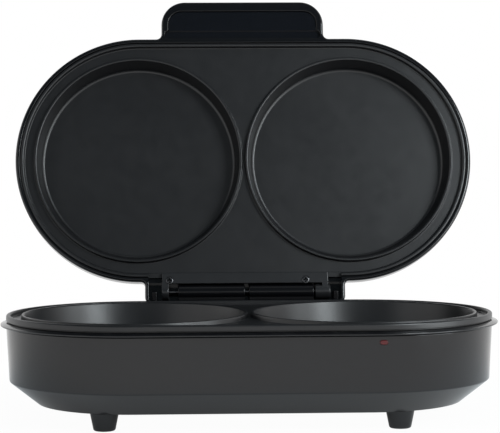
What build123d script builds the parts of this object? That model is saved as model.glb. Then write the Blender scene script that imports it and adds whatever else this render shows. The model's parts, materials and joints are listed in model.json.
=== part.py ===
from build123d import *
import math
import os

# Omelette maker, lid open. Built about the middle of the base, X to the right, Y to the back,
# with the lid first modelled shut. The front of the base faces -Y, and Z is up from the table.

# Cooking plates, one casting used twice, turned over for the lid. Every shell follows their
# plan, a stadium: two half rounds joined by straight runs.
plate_radius = 86.0
ridge_width = 2.9
ridge_height = 4.6
ridge_rounding = 1.2
undercut_height = 0.7
undercut_depth = 1.4
web_drop = 3.2
web_thickness = 2.2
web_root = 0.8
web_edge_rounding = 0.6
skirt_step = 0.2
pan_margin = 7.8
pan_half_gap = 0.7
pan_end_shift = 1.0
pan_rim_draft = 0.5
pan_rim_rounding = 0.5
pan_bead = 2.6
pan_bead_chamfer = 1.0
pan_depth = 16.0
pan_taper = 5.5
pan_floor_rounding = 2.5
lower_floor_thickness = 2.8
upper_floor_thickness = 1.6
post_inset = 13.8
post_radius = 3.6
lower_post_length = 13.0
upper_post_length = 7.6

# Base housing
foot_height = 11.8
chamfer_run = 18.7
chamfer_height = 15.0
wall_draft = 1.8
housing_height = 53.8
lip_margin = 3.8
lip_overhang = 3.8
lip_thickness = 2.2
lip_slope = 1.2
lip_shelf = 0.6
lip_rounding = 0.4
rebate_height = 0.4
rebate_depth = 1.2
rebate_shoulder = 0.8
floor_rounding = 1.2
crease_rounding = 1.5
cavity_rounding = 2.0
base_wall = 3.0
base_floor = 3.2
vent_length = 26.0
vent_width = 3.0
vent_pitch = 8.0
vent_count = 5

# Feet
foot_end_reach = 19.6
rear_foot_end_reach = 4.0
foot_edge_margin = 0.5
foot_top_radius = 9.3
foot_toe_radius = 6.95
foot_toe_rounding = 1.5
foot_screw_radius = 1.9
foot_head_radius = 3.5
foot_head_height = 2.0
foot_head_gap = 0.4
foot_head_recess = 5.0
foot_boss_radius = 6.0
foot_boss_height = 8.0
foot_boss_roof = 1.5
foot_screw_tip_gap = 3.0

# Gaps between what seats and what closes, and how far a cut or a root runs past its face
seat_gap = 0.2
closing_gap = 0.3
pocket_gap = 0.3
liner_gap = 0.2
cut_past = 1.0
root_sink = 0.5

# Heating elements and what is screwed under the plates
element_radius = 3.3
element_inset = 25.8
element_leg_height = 12.0
element_leg_end = 8.5
element_bend = 9.0
element_cradle_width = 9.0
element_cradle_depth = 3.6
element_cradle_rounding = 0.8
element_gap = 0.1
terminal_bead_radius = 2.3
terminal_bead_length = 2.5
terminal_pin_radius = 1.1
terminal_pin_length = 4.5
lower_shield_thickness = 0.8
lower_shield_inset = 8.1
lower_shield_rim = 9.0
upper_shield_thickness = 0.5
upper_shield_inset = 10.3
upper_shield_rim = 2.5
shield_fold = 0.6

# Screws of the plates
screw_radius = 1.5
screw_head_radius = 3.2
screw_head_height = 2.0
screw_grip = 6.0
screw_clearance = 0.3
screw_head_clearance = 0.5
screw_slot_depth_share = 0.45
screw_slot_length_share = 1.2
screw_slot_width_share = 0.28
thread_gap = 0.05
plate_boss_radius = 5.2
plate_boss_seat = 10.0

# Thermostats and fuse
thermostat_radius = 7.5
thermostat_height = 6.6
thermostat_cap_height = 1.8
thermostat_lug_length = 27.0
thermostat_lug_width = 7.0
thermostat_lug_thickness = 0.8
thermostat_cap_step = 1.0
thermostat_blade_share = 0.55
thermostat_screw_radius = 1.2
thermostat_screw_head = 2.4
thermostat_screw_head_height = 1.4
thermostat_hole_depth = 0.3
thermostat_window_margin = 1.5
blade_width = 4.0
blade_thickness = 0.8
blade_length = 6.0
fuse_radius = 2.0
fuse_length = 20.0
fuse_lead_radius = 0.6
fuse_lead_length = 8.0
fuse_clip_width = 8.0
fuse_clip_thickness = 0.8
fuse_clip_foot = 5.0
fuse_clip_gap = 0.1

# Terminal block
block_length = 34.0
block_depth = 16.0
block_height = 13.0
block_y = 34.0
block_ways = 3
block_base_share = 0.45
block_tower_share = 0.8
block_rounding_share = 0.12
block_bore_radius = 1.8
block_screw_radius = 1.5

# Indicator in the front wall
lens_end_reach = 6.0
lens_drop = 7.0
lens_width = 5.4
lens_height = 3.2
lens_gap = 0.15
lens_rounding = 0.4
lens_sunk = 0.2
lens_flange = 1.6
lens_flange_margin = 1.8
lens_sleeve_radius = 3.1
lens_sleeve_length = 5.0
lamp_radius = 2.1
lamp_gap = 0.2
lamp_length = 3.8
lamp_dome_share = 0.8
lamp_cap_share = 0.7
lamp_cap_length = 1.4

# Cord gland in the back wall
gland_x = -46.0
gland_level = 36.8
gland_bore_radius = 3.6
gland_body_radius = 6.0
gland_flange_radius = 8.5
gland_flange = 2.2
gland_tail = 3.0
gland_hook = 1.2
gland_rounding = 0.9
gland_pad = 1.2
gland_pad_margin = 1.0
gland_wall_gap = 0.6
gland_gap = 0.1

# Hinge
hinge_setback = 6.27
hinge_rise = 4.82
open_angle = 102.4
pin_radius = 1.5
pin_recess = 0.5
pin_chamfer = 0.3
pin_running_gap = 0.06
barrel_radius = 5.15
barrel_split = 1.2
barrel_gap = 2.8
left_collar_length = 5.0
left_collar_gap = 6.4
left_collar_stand = 0.25
right_collar_length = 10.9
right_collar_gap = 0.9
right_collar_stand = 1.65
right_link_length = 4.4
pedestal_depth = 5.6
shelf_margin = 0.4
shelf_drop = 1.4
shelf_thickness = 3.0
shelf_overhang = 5.0
gusset_height = 14.0
gusset_thickness = 2.6
gusset_inner_x = 22.0
guide_rib_thickness = 3.4
guide_rib_margin = 1.3
guide_rib_rise = 1.0
stop_gap = 0.35

# Hinge bar on the lid
bar_end_gap = 3.75
bar_front_setback = 3.3
bar_front_gap = 0.15
bar_thickness = 3.1
bar_rear_gap = 5.47
bar_seat_gap = 0.1
bar_rail_inset = 0.8
bar_screw_left_inset = 5.35
bar_screw_right_inset = 16.05
bar_screw_back = 2.2
bar_screw_head_radius = 2.75
bar_screw_head_height = 1.2
bar_screw_head_depth = 1.0
bar_screw_shank = 7.0
bar_screw_radius = 1.2
bar_screw_gap = 0.15
notch_gap = 0.3

# Lid housing
lid_wall = 2.9
brim_height = 14.5
brim_rounding = 3.0
brim_edge_rounding = 1.4
lid_roof = 2.3
dome_foot_inset = 4.6
dome_shoulder_inset = 7.2
dome_shoulder_rise = 8.0
dome_shoulder_rounding = 9.0
dome_top_inset = 29.2
dome_top_rise = 17.2
dome_top_rounding = 30.0
dome_crown_rise = 19.0
dome_wall = 2.2
pocket_rounding = 1.0
seat_ledge_height = 1.8
seat_ledge_width = 2.7

# Handle tongue of the lid
handle_inset = 16.0
handle_reach = 27.7
handle_corner = 17.0
handle_border = 7.0
handle_side_border = 4.9
handle_panel_corner = 9.5
root_fillet = 3.8
root_search = 0.01
liner_recess = 1.2
liner_thickness = 2.4
grip_groove_width = 5.9
grip_groove_depth = 1.6
grip_groove_side = 2.4
grip_groove_setback = 0.2
liner_boss_radius = 3.2
liner_boss_inset = 12.0
liner_boss_setback = 6.5

# Hinge hood of the lid
hood_inset = 3.6
hood_wall = 2.5
hood_setback = 8.53
hood_corner = 4.5
hood_root_fillet = 3.0
hood_window_margin = 1.2
hood_window_rise = 9.0
ear_depth = 6.5

# Radii and widths worked out from the sizes above
ridge_inner = plate_radius - ridge_width
web_radius = ridge_inner + skirt_step
pan_rim_radius = ridge_inner - pan_margin
pan_floor_radius = pan_rim_radius - pan_taper
pan_offset = pan_rim_radius + pan_half_gap
half_straight = pan_offset - pan_end_shift
post_circle = pan_floor_radius - post_inset
element_circle = pan_floor_radius - element_inset
lower_shield_radius = ridge_inner - lower_shield_inset
upper_shield_radius = pan_rim_radius - upper_shield_inset
lip_radius = plate_radius + lip_margin
wall_top_radius = lip_radius - lip_overhang
crease_radius = wall_top_radius - wall_draft
floor_end_radius = crease_radius - chamfer_run
foot_circle = floor_end_radius - foot_top_radius - foot_edge_margin
lid_radius = plate_radius + pocket_gap + lid_wall
handle_half_width = half_straight - handle_inset
handle_front = -lid_radius - handle_reach
hood_half_width = half_straight - hood_inset
ear_half_width = hood_half_width - hood_wall
hood_window_half_width = ear_half_width - hood_window_margin
shelf_half_width = hood_window_half_width + shelf_margin
guide_rib_centre = hood_window_half_width - guide_rib_margin - guide_rib_thickness / 2
bar_half_width = guide_rib_centre - guide_rib_thickness / 2 - bar_end_gap
bar_screw_x = (bar_screw_left_inset - bar_half_width, bar_half_width - bar_screw_right_inset)

# Spans along the hinge line
left_collar_start = -bar_half_width - left_collar_stand
left_collar = (left_collar_start, left_collar_start + left_collar_length)
right_collar_end = bar_half_width + right_collar_stand
right_collar = (right_collar_end - right_collar_length, right_collar_end)
left_barrel = (left_collar[1] + left_collar_gap, barrel_split - barrel_gap / 2)
right_barrel = (barrel_split + barrel_gap / 2, right_collar[0] - right_collar_gap)
left_link = left_collar
right_link = (bar_half_width - right_link_length, bar_half_width)

# Levels and lines worked out from the sizes above
lip_top = foot_height + housing_height
lip_under = lip_top - lip_thickness
floor_level = foot_height + base_floor
lens_x = half_straight + lens_end_reach
lens_level = lip_top - lens_drop
rim_top = lip_top + ridge_height + seat_gap
parting = rim_top + closing_gap
hinge_y = lip_radius + hinge_setback
hinge_z = parting + hinge_rise
crease_level = foot_height + chamfer_height
hood_back = hinge_y + hood_setback
lower_floor_under = rim_top - pan_depth - lower_floor_thickness
lower_shield_top = lower_floor_under - lower_post_length
shield_under = lower_shield_top - lower_shield_thickness
hinge_axis = Axis((0, hinge_y, hinge_z), (1, 0, 0))


def section(corners):
    """Closed face through (radius, height, rounding) corners."""
    points = [(radius, height) for radius, height, _ in corners]
    roundings = [rounding for _, _, rounding in corners]
    return make_face(FilletPolyline(*points, radius=roundings, close=True))


def around_stadium(face):
    """Carry a (radius, height) face round the two half rounds and along the straight runs."""
    solid = Part()
    for side in (1, -1):
        middle_plane = Plane(origin=(0, 0, 0), x_dir=(0, -side, 0), z_dir=(-side, 0, 0))
        end_plane = Plane(origin=(side * half_straight, 0, 0), x_dir=(0, -side, 0), z_dir=(-side, 0, 0))
        end_axis = Axis((side * half_straight, 0, 0), (0, 0, 1))
        solid += extrude(middle_plane * face, half_straight, both=True)
        solid += revolve(end_plane * face, axis=end_axis, revolution_arc=180)
    return solid


def turned(face, x=0, y=0):
    """Turn a (radius, height) face about an upright line."""
    return Pos(x, y, 0) * revolve(Plane.XZ * face, axis=Axis.Z)


def along_x(radius, start, end, y, z):
    """Round bar along X."""
    return Pos((start + end) / 2, y, z) * Rot(0, 90, 0) * Cylinder(radius, end - start)


def along_y(radius, start, end, x, z):
    """Round bar along Y."""
    return Pos(x, (start + end) / 2, z) * Rot(90, 0, 0) * Cylinder(radius, end - start)


def upright(radius, low, high, x, y):
    """Round bar along Z."""
    return Pos(x, y, (low + high) / 2) * Cylinder(radius, high - low)


def block(x_span, y_span, z_span):
    """Box between three pairs of limits."""
    spans = (x_span, y_span, z_span)
    centre = [(low + high) / 2 for low, high in spans]
    size = [high - low for low, high in spans]
    return Pos(*centre) * Box(*size)


def inset(points, wall):
    """Set the inner corners of a line of points inwards by a wall, to the left of its direction."""
    corners = []
    for before, here, after in zip(points, points[1:], points[2:]):
        arriving = (Vector(*here) - Vector(*before)).normalized()
        leaving = (Vector(*after) - Vector(*here)).normalized()
        left = Vector(-arriving.Y, arriving.X) + Vector(-leaving.Y, leaving.X)
        corner = Vector(*here) + left * (wall / (1 + arriving.dot(leaving)))
        corners.append((corner.X, corner.Y))
    return corners


def post_places():
    """Screw posts: two per pan, on the outer side."""
    reach = post_circle * math.sin(math.radians(45))
    return [(side * (pan_offset + reach), row * reach) for side in (1, -1) for row in (1, -1)]


def foot_places():
    """Feet under the flat floor; the rear ones stand further back, where the open lid leans."""
    places = []
    for row, reach in ((-1, foot_end_reach), (1, rear_foot_end_reach)):
        y = row * math.sqrt(foot_circle**2 - reach**2)
        places += [(side * (half_straight + reach), y) for side in (1, -1)]
    return places


def screw(head_radius, head_height, shank_radius, shank_length, x, y, seat, direction=1):
    """Pan-head screw whose head sits under a seat level, with its shank going in direction."""
    middle = head_height / 2
    head = Pos(x, y, seat - direction * middle) * Cylinder(head_radius, head_height)
    shank = Pos(x, y, seat + direction * shank_length / 2) * Cylinder(shank_radius, shank_length)
    slot_depth = head_height * screw_slot_depth_share
    slot_length = head_radius * screw_slot_length_share
    slot_width = head_radius * screw_slot_width_share
    slot_level = seat - direction * (head_height - slot_depth / 2)
    slot = Pos(x, y, slot_level) * Box(slot_length, slot_width, slot_depth)
    cross = Pos(x, y, slot_level) * Box(slot_width, slot_length, slot_depth)
    return head + shank - slot - cross


# Base housing: tub, lip, hinge shelf, barrels, guide ribs and bosses
def base_housing():
    rebate_level = lip_under - rebate_height
    wall_head = wall_radius_at(rebate_level)
    outer = section([
        (0, foot_height, 0),
        (floor_end_radius, foot_height, floor_rounding),
        (crease_radius, crease_level, crease_rounding),
        (wall_head, rebate_level, rebate_shoulder),
        (wall_head - rebate_depth, rebate_level, 0),
        (wall_head - rebate_depth, lip_under, 0),
        (lip_radius, lip_under, lip_rounding),
        (lip_radius, lip_top - lip_slope, lip_rounding),
        (plate_radius + lip_shelf, lip_top, 0),
        (0, lip_top, 0),
    ])
    outside = [
        (-1, foot_height),
        (floor_end_radius, foot_height),
        (crease_radius, crease_level),
        (wall_top_radius, lip_under),
    ]
    floor_corner, crease_corner = inset(outside, base_wall)
    slope = (crease_corner[0] - floor_corner[0]) / (crease_corner[1] - floor_corner[1])
    cavity = section([
        (0, floor_level, 0),
        (floor_corner[0] + slope * (floor_level - floor_corner[1]), floor_level, cavity_rounding),
        (*crease_corner, cavity_rounding),
        (web_radius + pocket_gap, lip_top + cut_past, 0),
        (0, lip_top + cut_past, 0),
    ])
    body = around_stadium(outer)
    body -= around_stadium(cavity)
    body += hinge_shelf()
    head_bore = screw_head_radius + screw_head_clearance
    for x, y in post_places():
        body += upright(plate_boss_radius, foot_height + root_sink, shield_under, x, y)
        body -= upright(head_bore, foot_height - cut_past, plate_screw_seat(), x, y)
        body -= upright(screw_radius + screw_clearance, foot_height, rim_top, x, y)
    for x, y in foot_places():
        boss_top = floor_level + foot_boss_height
        body += upright(foot_boss_radius, foot_height + root_sink, boss_top, x, y)
        body -= upright(foot_screw_radius + thread_gap, foot_height - cut_past, boss_top - foot_boss_roof,
                        x, y)
    for index in range(vent_count):
        place = (index - (vent_count - 1) / 2) * vent_pitch
        for side in (1, -1):
            slot = extrude(SlotOverall(vent_length, vent_width), base_floor + 2 * cut_past)
            body -= Pos(side * pan_offset / 2, place, foot_height - cut_past) * slot
    opening = extrude(SlotOverall(lens_width, lens_height), 2 * (base_wall + cut_past))
    body -= Pos(lens_x, -wall_radius_at(lens_level) - cut_past, lens_level) * Rot(-90, 0, 0) * opening
    pad_face, inner_face = gland_faces()
    body += along_y(gland_flange_radius + gland_pad_margin, inner_face, pad_face, gland_x, gland_level)
    body -= along_y(gland_body_radius + gland_gap, inner_face - cut_past, pad_face + cut_past,
                    gland_x, gland_level)
    return body


def wall_radius_at(level):
    """Outer radius of the drafted wall of the base at a level."""
    share = (level - crease_level) / (lip_under - crease_level)
    return crease_radius + share * (wall_top_radius - crease_radius)


def gland_faces():
    """Outer face of the pad round the cord gland and inner face of its boss, as Y values."""
    wall = wall_radius_at(gland_level)
    return wall + gland_pad, wall - base_wall - gland_wall_gap


def plate_screw_seat():
    """Level of the screw-head seats inside the bosses of the base."""
    return shield_under - plate_boss_seat


def hinge_shelf():
    """Shelf behind the lip with the barrels on their pedestals, guide ribs and gussets."""
    shelf_top = lip_top - shelf_drop
    shelf_back = hinge_y + shelf_overhang
    shelf = block((-shelf_half_width, shelf_half_width), (web_radius + pocket_gap, shelf_back),
                  (shelf_top - shelf_thickness, shelf_top))
    pedestal_back = stop_face_y()
    solid = shelf
    for start, end in (left_barrel, right_barrel):
        solid += along_x(barrel_radius, start, end, hinge_y, hinge_z)
        solid += block((start, end), (pedestal_back - pedestal_depth, pedestal_back),
                       (shelf_top - root_sink, hinge_z - pin_radius / 2))
        solid -= along_x(pin_radius, start - cut_past, end + cut_past, hinge_y, hinge_z)
    rib_top = hinge_z + guide_rib_rise
    round_radius = guide_rib_thickness / 2
    for side in (1, -1):
        middle = side * guide_rib_centre
        x_span = (middle - round_radius, middle + round_radius)
        y_span = (hinge_y - barrel_radius, pedestal_back)
        solid += block(x_span, y_span, (shelf_top - root_sink, rib_top - round_radius))
        solid += along_y(round_radius, *y_span, middle, rib_top - round_radius)
    under = shelf_top - shelf_thickness
    root = wall_radius_at(under - gusset_height) - root_sink
    gusset = make_face(Polyline((root, under - gusset_height), (shelf_back, under),
                                (shelf_back, under + root_sink), (root, under + root_sink), close=True))
    outer_x = shelf_half_width - gusset_thickness
    for x in (-outer_x, -gusset_inner_x, gusset_inner_x, outer_x):
        solid += Pos(x, 0, 0) * extrude(Plane.YZ * gusset, gusset_thickness / 2, both=True)
    return solid


def stop_face_y():
    """Back face of the pedestals, which the lower edge of the hood meets when the lid is open."""
    angle = math.radians(open_angle)
    edge_rise = hood_window_rise - hinge_rise
    return hinge_y + hood_setback * math.cos(angle) + edge_rise * math.sin(angle) - stop_gap


# Feet: tapered, open inside below their screw
def foot(x, y):
    body = section([
        (foot_screw_radius + screw_clearance, foot_height, 0),
        (foot_top_radius, foot_height, 0),
        (foot_toe_radius, 0, foot_toe_rounding),
        (foot_head_radius + foot_head_gap, 0, 0),
        (foot_head_radius + foot_head_gap, foot_head_recess, 0),
        (foot_screw_radius + screw_clearance, foot_head_recess, 0),
    ])
    return turned(body, x, y)


def foot_screw(x, y):
    shank = floor_level + foot_boss_height - foot_screw_tip_gap - foot_head_recess
    return screw(foot_head_radius, foot_head_height, foot_screw_radius, shank, x, y, foot_head_recess)


# Cooking plate, drawn with its rims at level 0 and its pans below
def element_line():
    """Middle line of one heating element: two legs towards the middle, flaring into a ring."""
    rise = element_leg_height + element_bend
    reach = element_circle + element_bend
    bend_x = pan_offset - math.sqrt(reach**2 - rise**2)
    join_angle = math.atan2(rise, bend_x - pan_offset)
    join = (pan_offset + element_circle * math.cos(join_angle), element_circle * math.sin(join_angle))
    half_turn = math.atan2(join[0] - bend_x, rise - join[1]) / 2
    crown = (bend_x + element_bend * math.sin(half_turn), rise - element_bend * math.cos(half_turn))
    far = (pan_offset + element_circle, 0)
    leg = Line((element_leg_end, element_leg_height), (bend_x, element_leg_height))
    flare = ThreePointArc((bend_x, element_leg_height), crown, join)
    ring = ThreePointArc(join, far, (join[0], -join[1]))
    back_flare = ThreePointArc((join[0], -join[1]), (crown[0], -crown[1]), (bend_x, -element_leg_height))
    back_leg = Line((bend_x, -element_leg_height), (element_leg_end, -element_leg_height))
    return Wire([*leg.edges(), *flare.edges(), *ring.edges(), *back_flare.edges(), *back_leg.edges()])


def element_bar(radius, level):
    """Round bar along the element line, at a level under the plate."""
    line = element_line()
    start = Plane(origin=line @ 0, z_dir=line % 0)
    return Pos(0, 0, level) * sweep(start * Circle(radius), path=line)


def element_level(floor_thickness):
    return -pan_depth - floor_thickness - element_radius - element_gap


def cooking_plate(floor_thickness, post_length, hinge_notch=False):
    web_under = -web_drop - web_thickness
    floor_under = -pan_depth - floor_thickness
    undercut = (plate_radius - undercut_depth, undercut_height - ridge_height)
    tray = section([
        (0, web_under, 0),
        (web_radius, web_under, web_edge_rounding),
        (web_radius, -ridge_height, 0),
        (undercut[0], -ridge_height, 0),
        (*undercut, 0),
        (plate_radius, undercut[1], 0),
        (plate_radius, 0, ridge_rounding),
        (ridge_inner, 0, ridge_rounding),
        (ridge_inner, -web_drop, web_root),
        (0, -web_drop, 0),
    ])
    plate = around_stadium(tray)
    if hinge_notch:
        back = plate_radius + cut_past
        half = bar_half_width + notch_gap
        plate -= block((-ear_half_width, ear_half_width), (hinge_bar_front(), back), (-web_drop, cut_past))
        plate -= block((-half, half), (web_radius, back), (-ridge_height - cut_past, cut_past))
    pan = section([
        (0, floor_under, 0),
        (pan_floor_radius + floor_thickness, floor_under, pan_floor_rounding),
        (pan_rim_radius, web_under, 0),
        (pan_rim_radius, -web_drop, 0),
        (pan_rim_radius - pan_rim_draft, 0, pan_rim_rounding),
        (0, 0, 0),
    ])
    bead_inner = pan_rim_radius - pan_bead
    hollow = section([
        (0, -pan_depth, 0),
        (pan_floor_radius, -pan_depth, pan_floor_rounding),
        (bead_inner, -pan_bead_chamfer, 0),
        (bead_inner + pan_bead_chamfer, 0, 0),
        (bead_inner + pan_bead_chamfer, cut_past, 0),
        (0, cut_past, 0),
    ])
    cradle_inner = element_circle - element_cradle_width / 2
    cradle_outer = element_circle + element_cradle_width / 2
    cradle_under = floor_under - element_cradle_depth
    cradle = section([
        (cradle_inner, cradle_under, element_cradle_rounding),
        (cradle_outer, cradle_under, element_cradle_rounding),
        (cradle_outer, floor_under + root_sink, 0),
        (cradle_inner, floor_under + root_sink, 0),
    ])
    groove = element_bar(element_radius + element_gap, element_level(floor_thickness))
    for side in (1, -1):
        plate += turned(pan, side * pan_offset)
        plate += turned(cradle, side * pan_offset)
    for side in (1, -1):
        plate -= turned(hollow, side * pan_offset)
        plate -= groove if side == 1 else mirror(groove, about=Plane.YZ)
    for x, y in post_places():
        post_end = floor_under - post_length
        plate += upright(post_radius, post_end, floor_under + root_sink, x, y)
        plate -= upright(screw_radius + thread_gap, post_end - cut_past, floor_under - root_sink, x, y)
    return plate


def hinge_bar_front():
    """Front edge of the hinge bar, behind the inner edge of the plate's ridge."""
    return plate_radius - bar_front_setback


# Heating element with its cold ends, drawn under a plate at level 0
def heating_element(floor_thickness, side):
    bar = element_bar(element_radius, element_level(floor_thickness))
    return bar if side == 1 else mirror(bar, about=Plane.YZ)


def terminals(floor_thickness):
    """Ceramic bead and pin on each cold end of both elements."""
    level = element_level(floor_thickness)
    bead_start = element_leg_end - terminal_bead_length
    pins = []
    for side in (1, -1):
        for row in (1, -1):
            y = row * element_leg_height
            bead = along_x(terminal_bead_radius, bead_start, element_leg_end, y, level)
            pin = along_x(terminal_pin_radius, bead_start - terminal_pin_length, bead_start, y, level)
            piece = bead + pin
            pins.append(piece if side == 1 else mirror(piece, about=Plane.YZ))
    return Compound(children=pins)


# Heat shields: folded trays with a hole for each screw, drawn with their plate face at level 0
def heat_shield(radius, thickness, rim, window_radius=0):
    tray = section([
        (0, -thickness, 0),
        (radius, -thickness, thickness + shield_fold),
        (radius, rim, 0),
        (radius - thickness, rim, 0),
        (radius - thickness, 0, shield_fold),
        (0, 0, 0),
    ])
    shield = around_stadium(tray)
    for x, y in post_places():
        shield -= upright(screw_radius + screw_clearance, -thickness - cut_past, cut_past, x, y)
    if window_radius:
        shield -= upright(window_radius, -thickness - cut_past, cut_past, pan_offset, 0)
    return shield


# Thermostat: round body with a cap against the pan floor, a lug plate and two blades
def thermostat(x, y, contact):
    body_top = contact - thermostat_cap_height
    body_low = contact - thermostat_height
    cap = upright(thermostat_radius - thermostat_cap_step, body_top, contact, x, y)
    body = upright(thermostat_radius, body_low, body_top, x, y)
    lug_low = body_top - thermostat_lug_thickness
    lug = Pos(x, y, lug_low) * extrude(SlotOverall(thermostat_lug_length, thermostat_lug_width),
                                       thermostat_lug_thickness)
    solid = cap + body + lug
    for hole_x, hole_y in thermostat_screw_places(x, y):
        solid -= upright(thermostat_screw_radius + screw_clearance, lug_low - cut_past, body_top + cut_past,
                         hole_x, hole_y)
    for row in (1, -1):
        middle = y + row * thermostat_radius * thermostat_blade_share
        solid += block((x - blade_width / 2, x + blade_width / 2),
                       (middle - blade_thickness / 2, middle + blade_thickness / 2),
                       (body_low - blade_length, body_low + root_sink))
    return solid


def thermostat_screw_places(x, y):
    """Holes at the two ends of the lug plate."""
    reach = (thermostat_lug_length - thermostat_lug_width) / 2
    return [(x + reach, y), (x - reach, y)]


def thermostat_posts(x, y, floor_under):
    """Short posts on the pan floor that the lug plate is screwed to."""
    posts = []
    low = floor_under - thermostat_cap_height
    for post_x, post_y in thermostat_screw_places(x, y):
        post = upright(thermostat_lug_width / 2, low, floor_under + root_sink, post_x, post_y)
        hole = upright(thermostat_screw_radius + thread_gap, low - cut_past,
                       floor_under + thermostat_hole_depth, post_x, post_y)
        posts.append(post - hole)
    return posts


def thermostat_screws(x, y, floor_under):
    """Screws that hold the lug plate to its posts."""
    seat = floor_under - thermostat_cap_height - thermostat_lug_thickness
    length = thermostat_cap_height + thermostat_lug_thickness
    return [screw(thermostat_screw_head, thermostat_screw_head_height, thermostat_screw_radius, length,
                  hole_x, hole_y, seat)
            for hole_x, hole_y in thermostat_screw_places(x, y)]


# Thermal fuse against the floor of the left pan, held by a strap
def thermal_fuse(floor_under):
    level = floor_under - fuse_radius
    half = fuse_length / 2
    body = along_x(fuse_radius, -pan_offset - half, -pan_offset + half, 0, level)
    reach = half + fuse_lead_length
    leads = along_x(fuse_lead_radius, -pan_offset - reach, -pan_offset + reach, 0, level)
    return body + leads


def fuse_clip(floor_under):
    inner = fuse_radius + fuse_clip_gap
    outer = inner + fuse_clip_thickness
    foot_end = outer + fuse_clip_foot
    strap = Circle(outer) + Pos(0, outer / 2) * Rectangle(2 * outer, outer)
    strap += Pos(0, fuse_radius - fuse_clip_thickness / 2) * Rectangle(2 * foot_end, fuse_clip_thickness)
    strap -= Circle(inner) + Pos(0, inner) * Rectangle(2 * inner, 2 * inner)
    strap = strap & Pos(0, fuse_radius - outer) * Rectangle(2 * foot_end, 2 * outer)
    clip = extrude(Plane.YZ * strap, fuse_clip_width / 2, both=True)
    return Pos(-pan_offset, 0, floor_under - fuse_radius) * clip


# Terminal block on the floor of the base
def terminal_block():
    half = block_length / 2
    pitch = block_length / block_ways
    bore_level = floor_level + block_height * block_base_share
    block_top = floor_level + block_height
    tower_half = pitch * block_tower_share / 2
    tower_depth = block_depth * block_tower_share / 2
    solid = block((-half, half), (block_y - block_depth / 2, block_y + block_depth / 2),
                  (floor_level, bore_level))
    places = [(way - (block_ways - 1) / 2) * pitch for way in range(block_ways)]
    for x in places:
        tower = block((x - tower_half, x + tower_half), (block_y - tower_depth, block_y + tower_depth),
                      (floor_level, block_top))
        solid += fillet(tower.edges().filter_by(Axis.Y).group_by(Axis.Z)[-1], pitch * block_rounding_share)
    for x in places:
        solid -= along_y(block_bore_radius, block_y - block_depth, block_y + block_depth, x, bore_level)
        solid -= upright(block_screw_radius, bore_level, block_top + cut_past, x, block_y)
    return solid


# Indicator lens with its sleeve, and the lamp inside
def lens_faces():
    """Front face of the lens and inner face of the wall at its level, as Y values."""
    front = lens_sunk - wall_radius_at(lens_level)
    flange_edge = lens_x + lens_width / 2 + lens_flange_margin - half_straight
    flange_low = lens_level - lens_height / 2 - lens_flange_margin
    inner_radius = wall_radius_at(flange_low) - base_wall
    inner = -math.sqrt(inner_radius**2 - max(flange_edge, 0)**2) + element_gap
    return front, inner


def indicator_lens():
    front, inner = lens_faces()
    window_plan = SlotOverall(lens_width - 2 * lens_gap, lens_height - 2 * lens_gap)
    window = extrude(window_plan, inner - front + root_sink)
    window = fillet(window.edges().group_by(Axis.Z)[0], lens_rounding)
    flange = Pos(0, 0, inner - front) * extrude(
        SlotOverall(lens_width + 2 * lens_flange_margin, lens_height + 2 * lens_flange_margin), lens_flange)
    sleeve_start = inner - front + lens_flange
    sleeve = Pos(0, 0, sleeve_start - root_sink) * extrude(Circle(lens_sleeve_radius), lens_sleeve_length)
    bore = Pos(0, 0, sleeve_start) * extrude(Circle(lamp_radius + lamp_gap), lens_sleeve_length + cut_past)
    lens = window + flange + sleeve - bore
    return Pos(lens_x, front, lens_level) * Rot(-90, 0, 0) * lens


def indicator_lamp():
    inner = lens_faces()[1]
    start = inner + lens_flange + lamp_gap / 2
    end = start + lamp_length
    glass = along_y(lamp_radius, start, end, lens_x, lens_level)
    glass = fillet(glass.edges().group_by(Axis.Y)[0], lamp_radius * lamp_dome_share)
    cap = along_y(lamp_radius * lamp_cap_share, end, end + lamp_cap_length, lens_x, lens_level)
    return glass + cap


# Cord gland: flanged bush through the back wall
def cord_gland():
    pad_face, inner_face = gland_faces()
    hook_radius = gland_body_radius + gland_hook
    bush = section([
        (gland_bore_radius, inner_face - gland_tail, 0),
        (hook_radius, inner_face - gland_tail, gland_hook / 2),
        (hook_radius, inner_face, 0),
        (gland_body_radius, inner_face, 0),
        (gland_body_radius, pad_face, 0),
        (gland_flange_radius, pad_face, 0),
        (gland_flange_radius, pad_face + gland_flange, gland_rounding),
        (gland_bore_radius, pad_face + gland_flange, gland_rounding),
    ])
    return Pos(gland_x, 0, gland_level) * Rot(-90, 0, 0) * turned(bush)


def hinge_pin():
    pin = along_x(pin_radius, left_collar[0] + pin_recess, right_collar[1] - pin_recess, hinge_y, hinge_z)
    return chamfer(pin.edges().filter_by(GeomType.CIRCLE), pin_chamfer)


# Lid, drawn shut: brim with handle tongue and hood, dome, and the pockets underneath
def tongue(half_width, front, back, corner):
    """Plan of the handle tongue: a rectangle with its two front corners rounded."""
    outline = make_face(Polyline((-half_width, back), (-half_width, front), (half_width, front),
                                 (half_width, back), close=True))
    return fillet(outline.vertices().group_by(Axis.Y)[0], corner)


def hood_plan():
    outline = make_face(Polyline((-hood_half_width, 0), (hood_half_width, 0), (hood_half_width, hood_back),
                                 (-hood_half_width, hood_back), close=True))
    return fillet(outline.vertices().group_by(Axis.Y)[-1], hood_corner)


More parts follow.
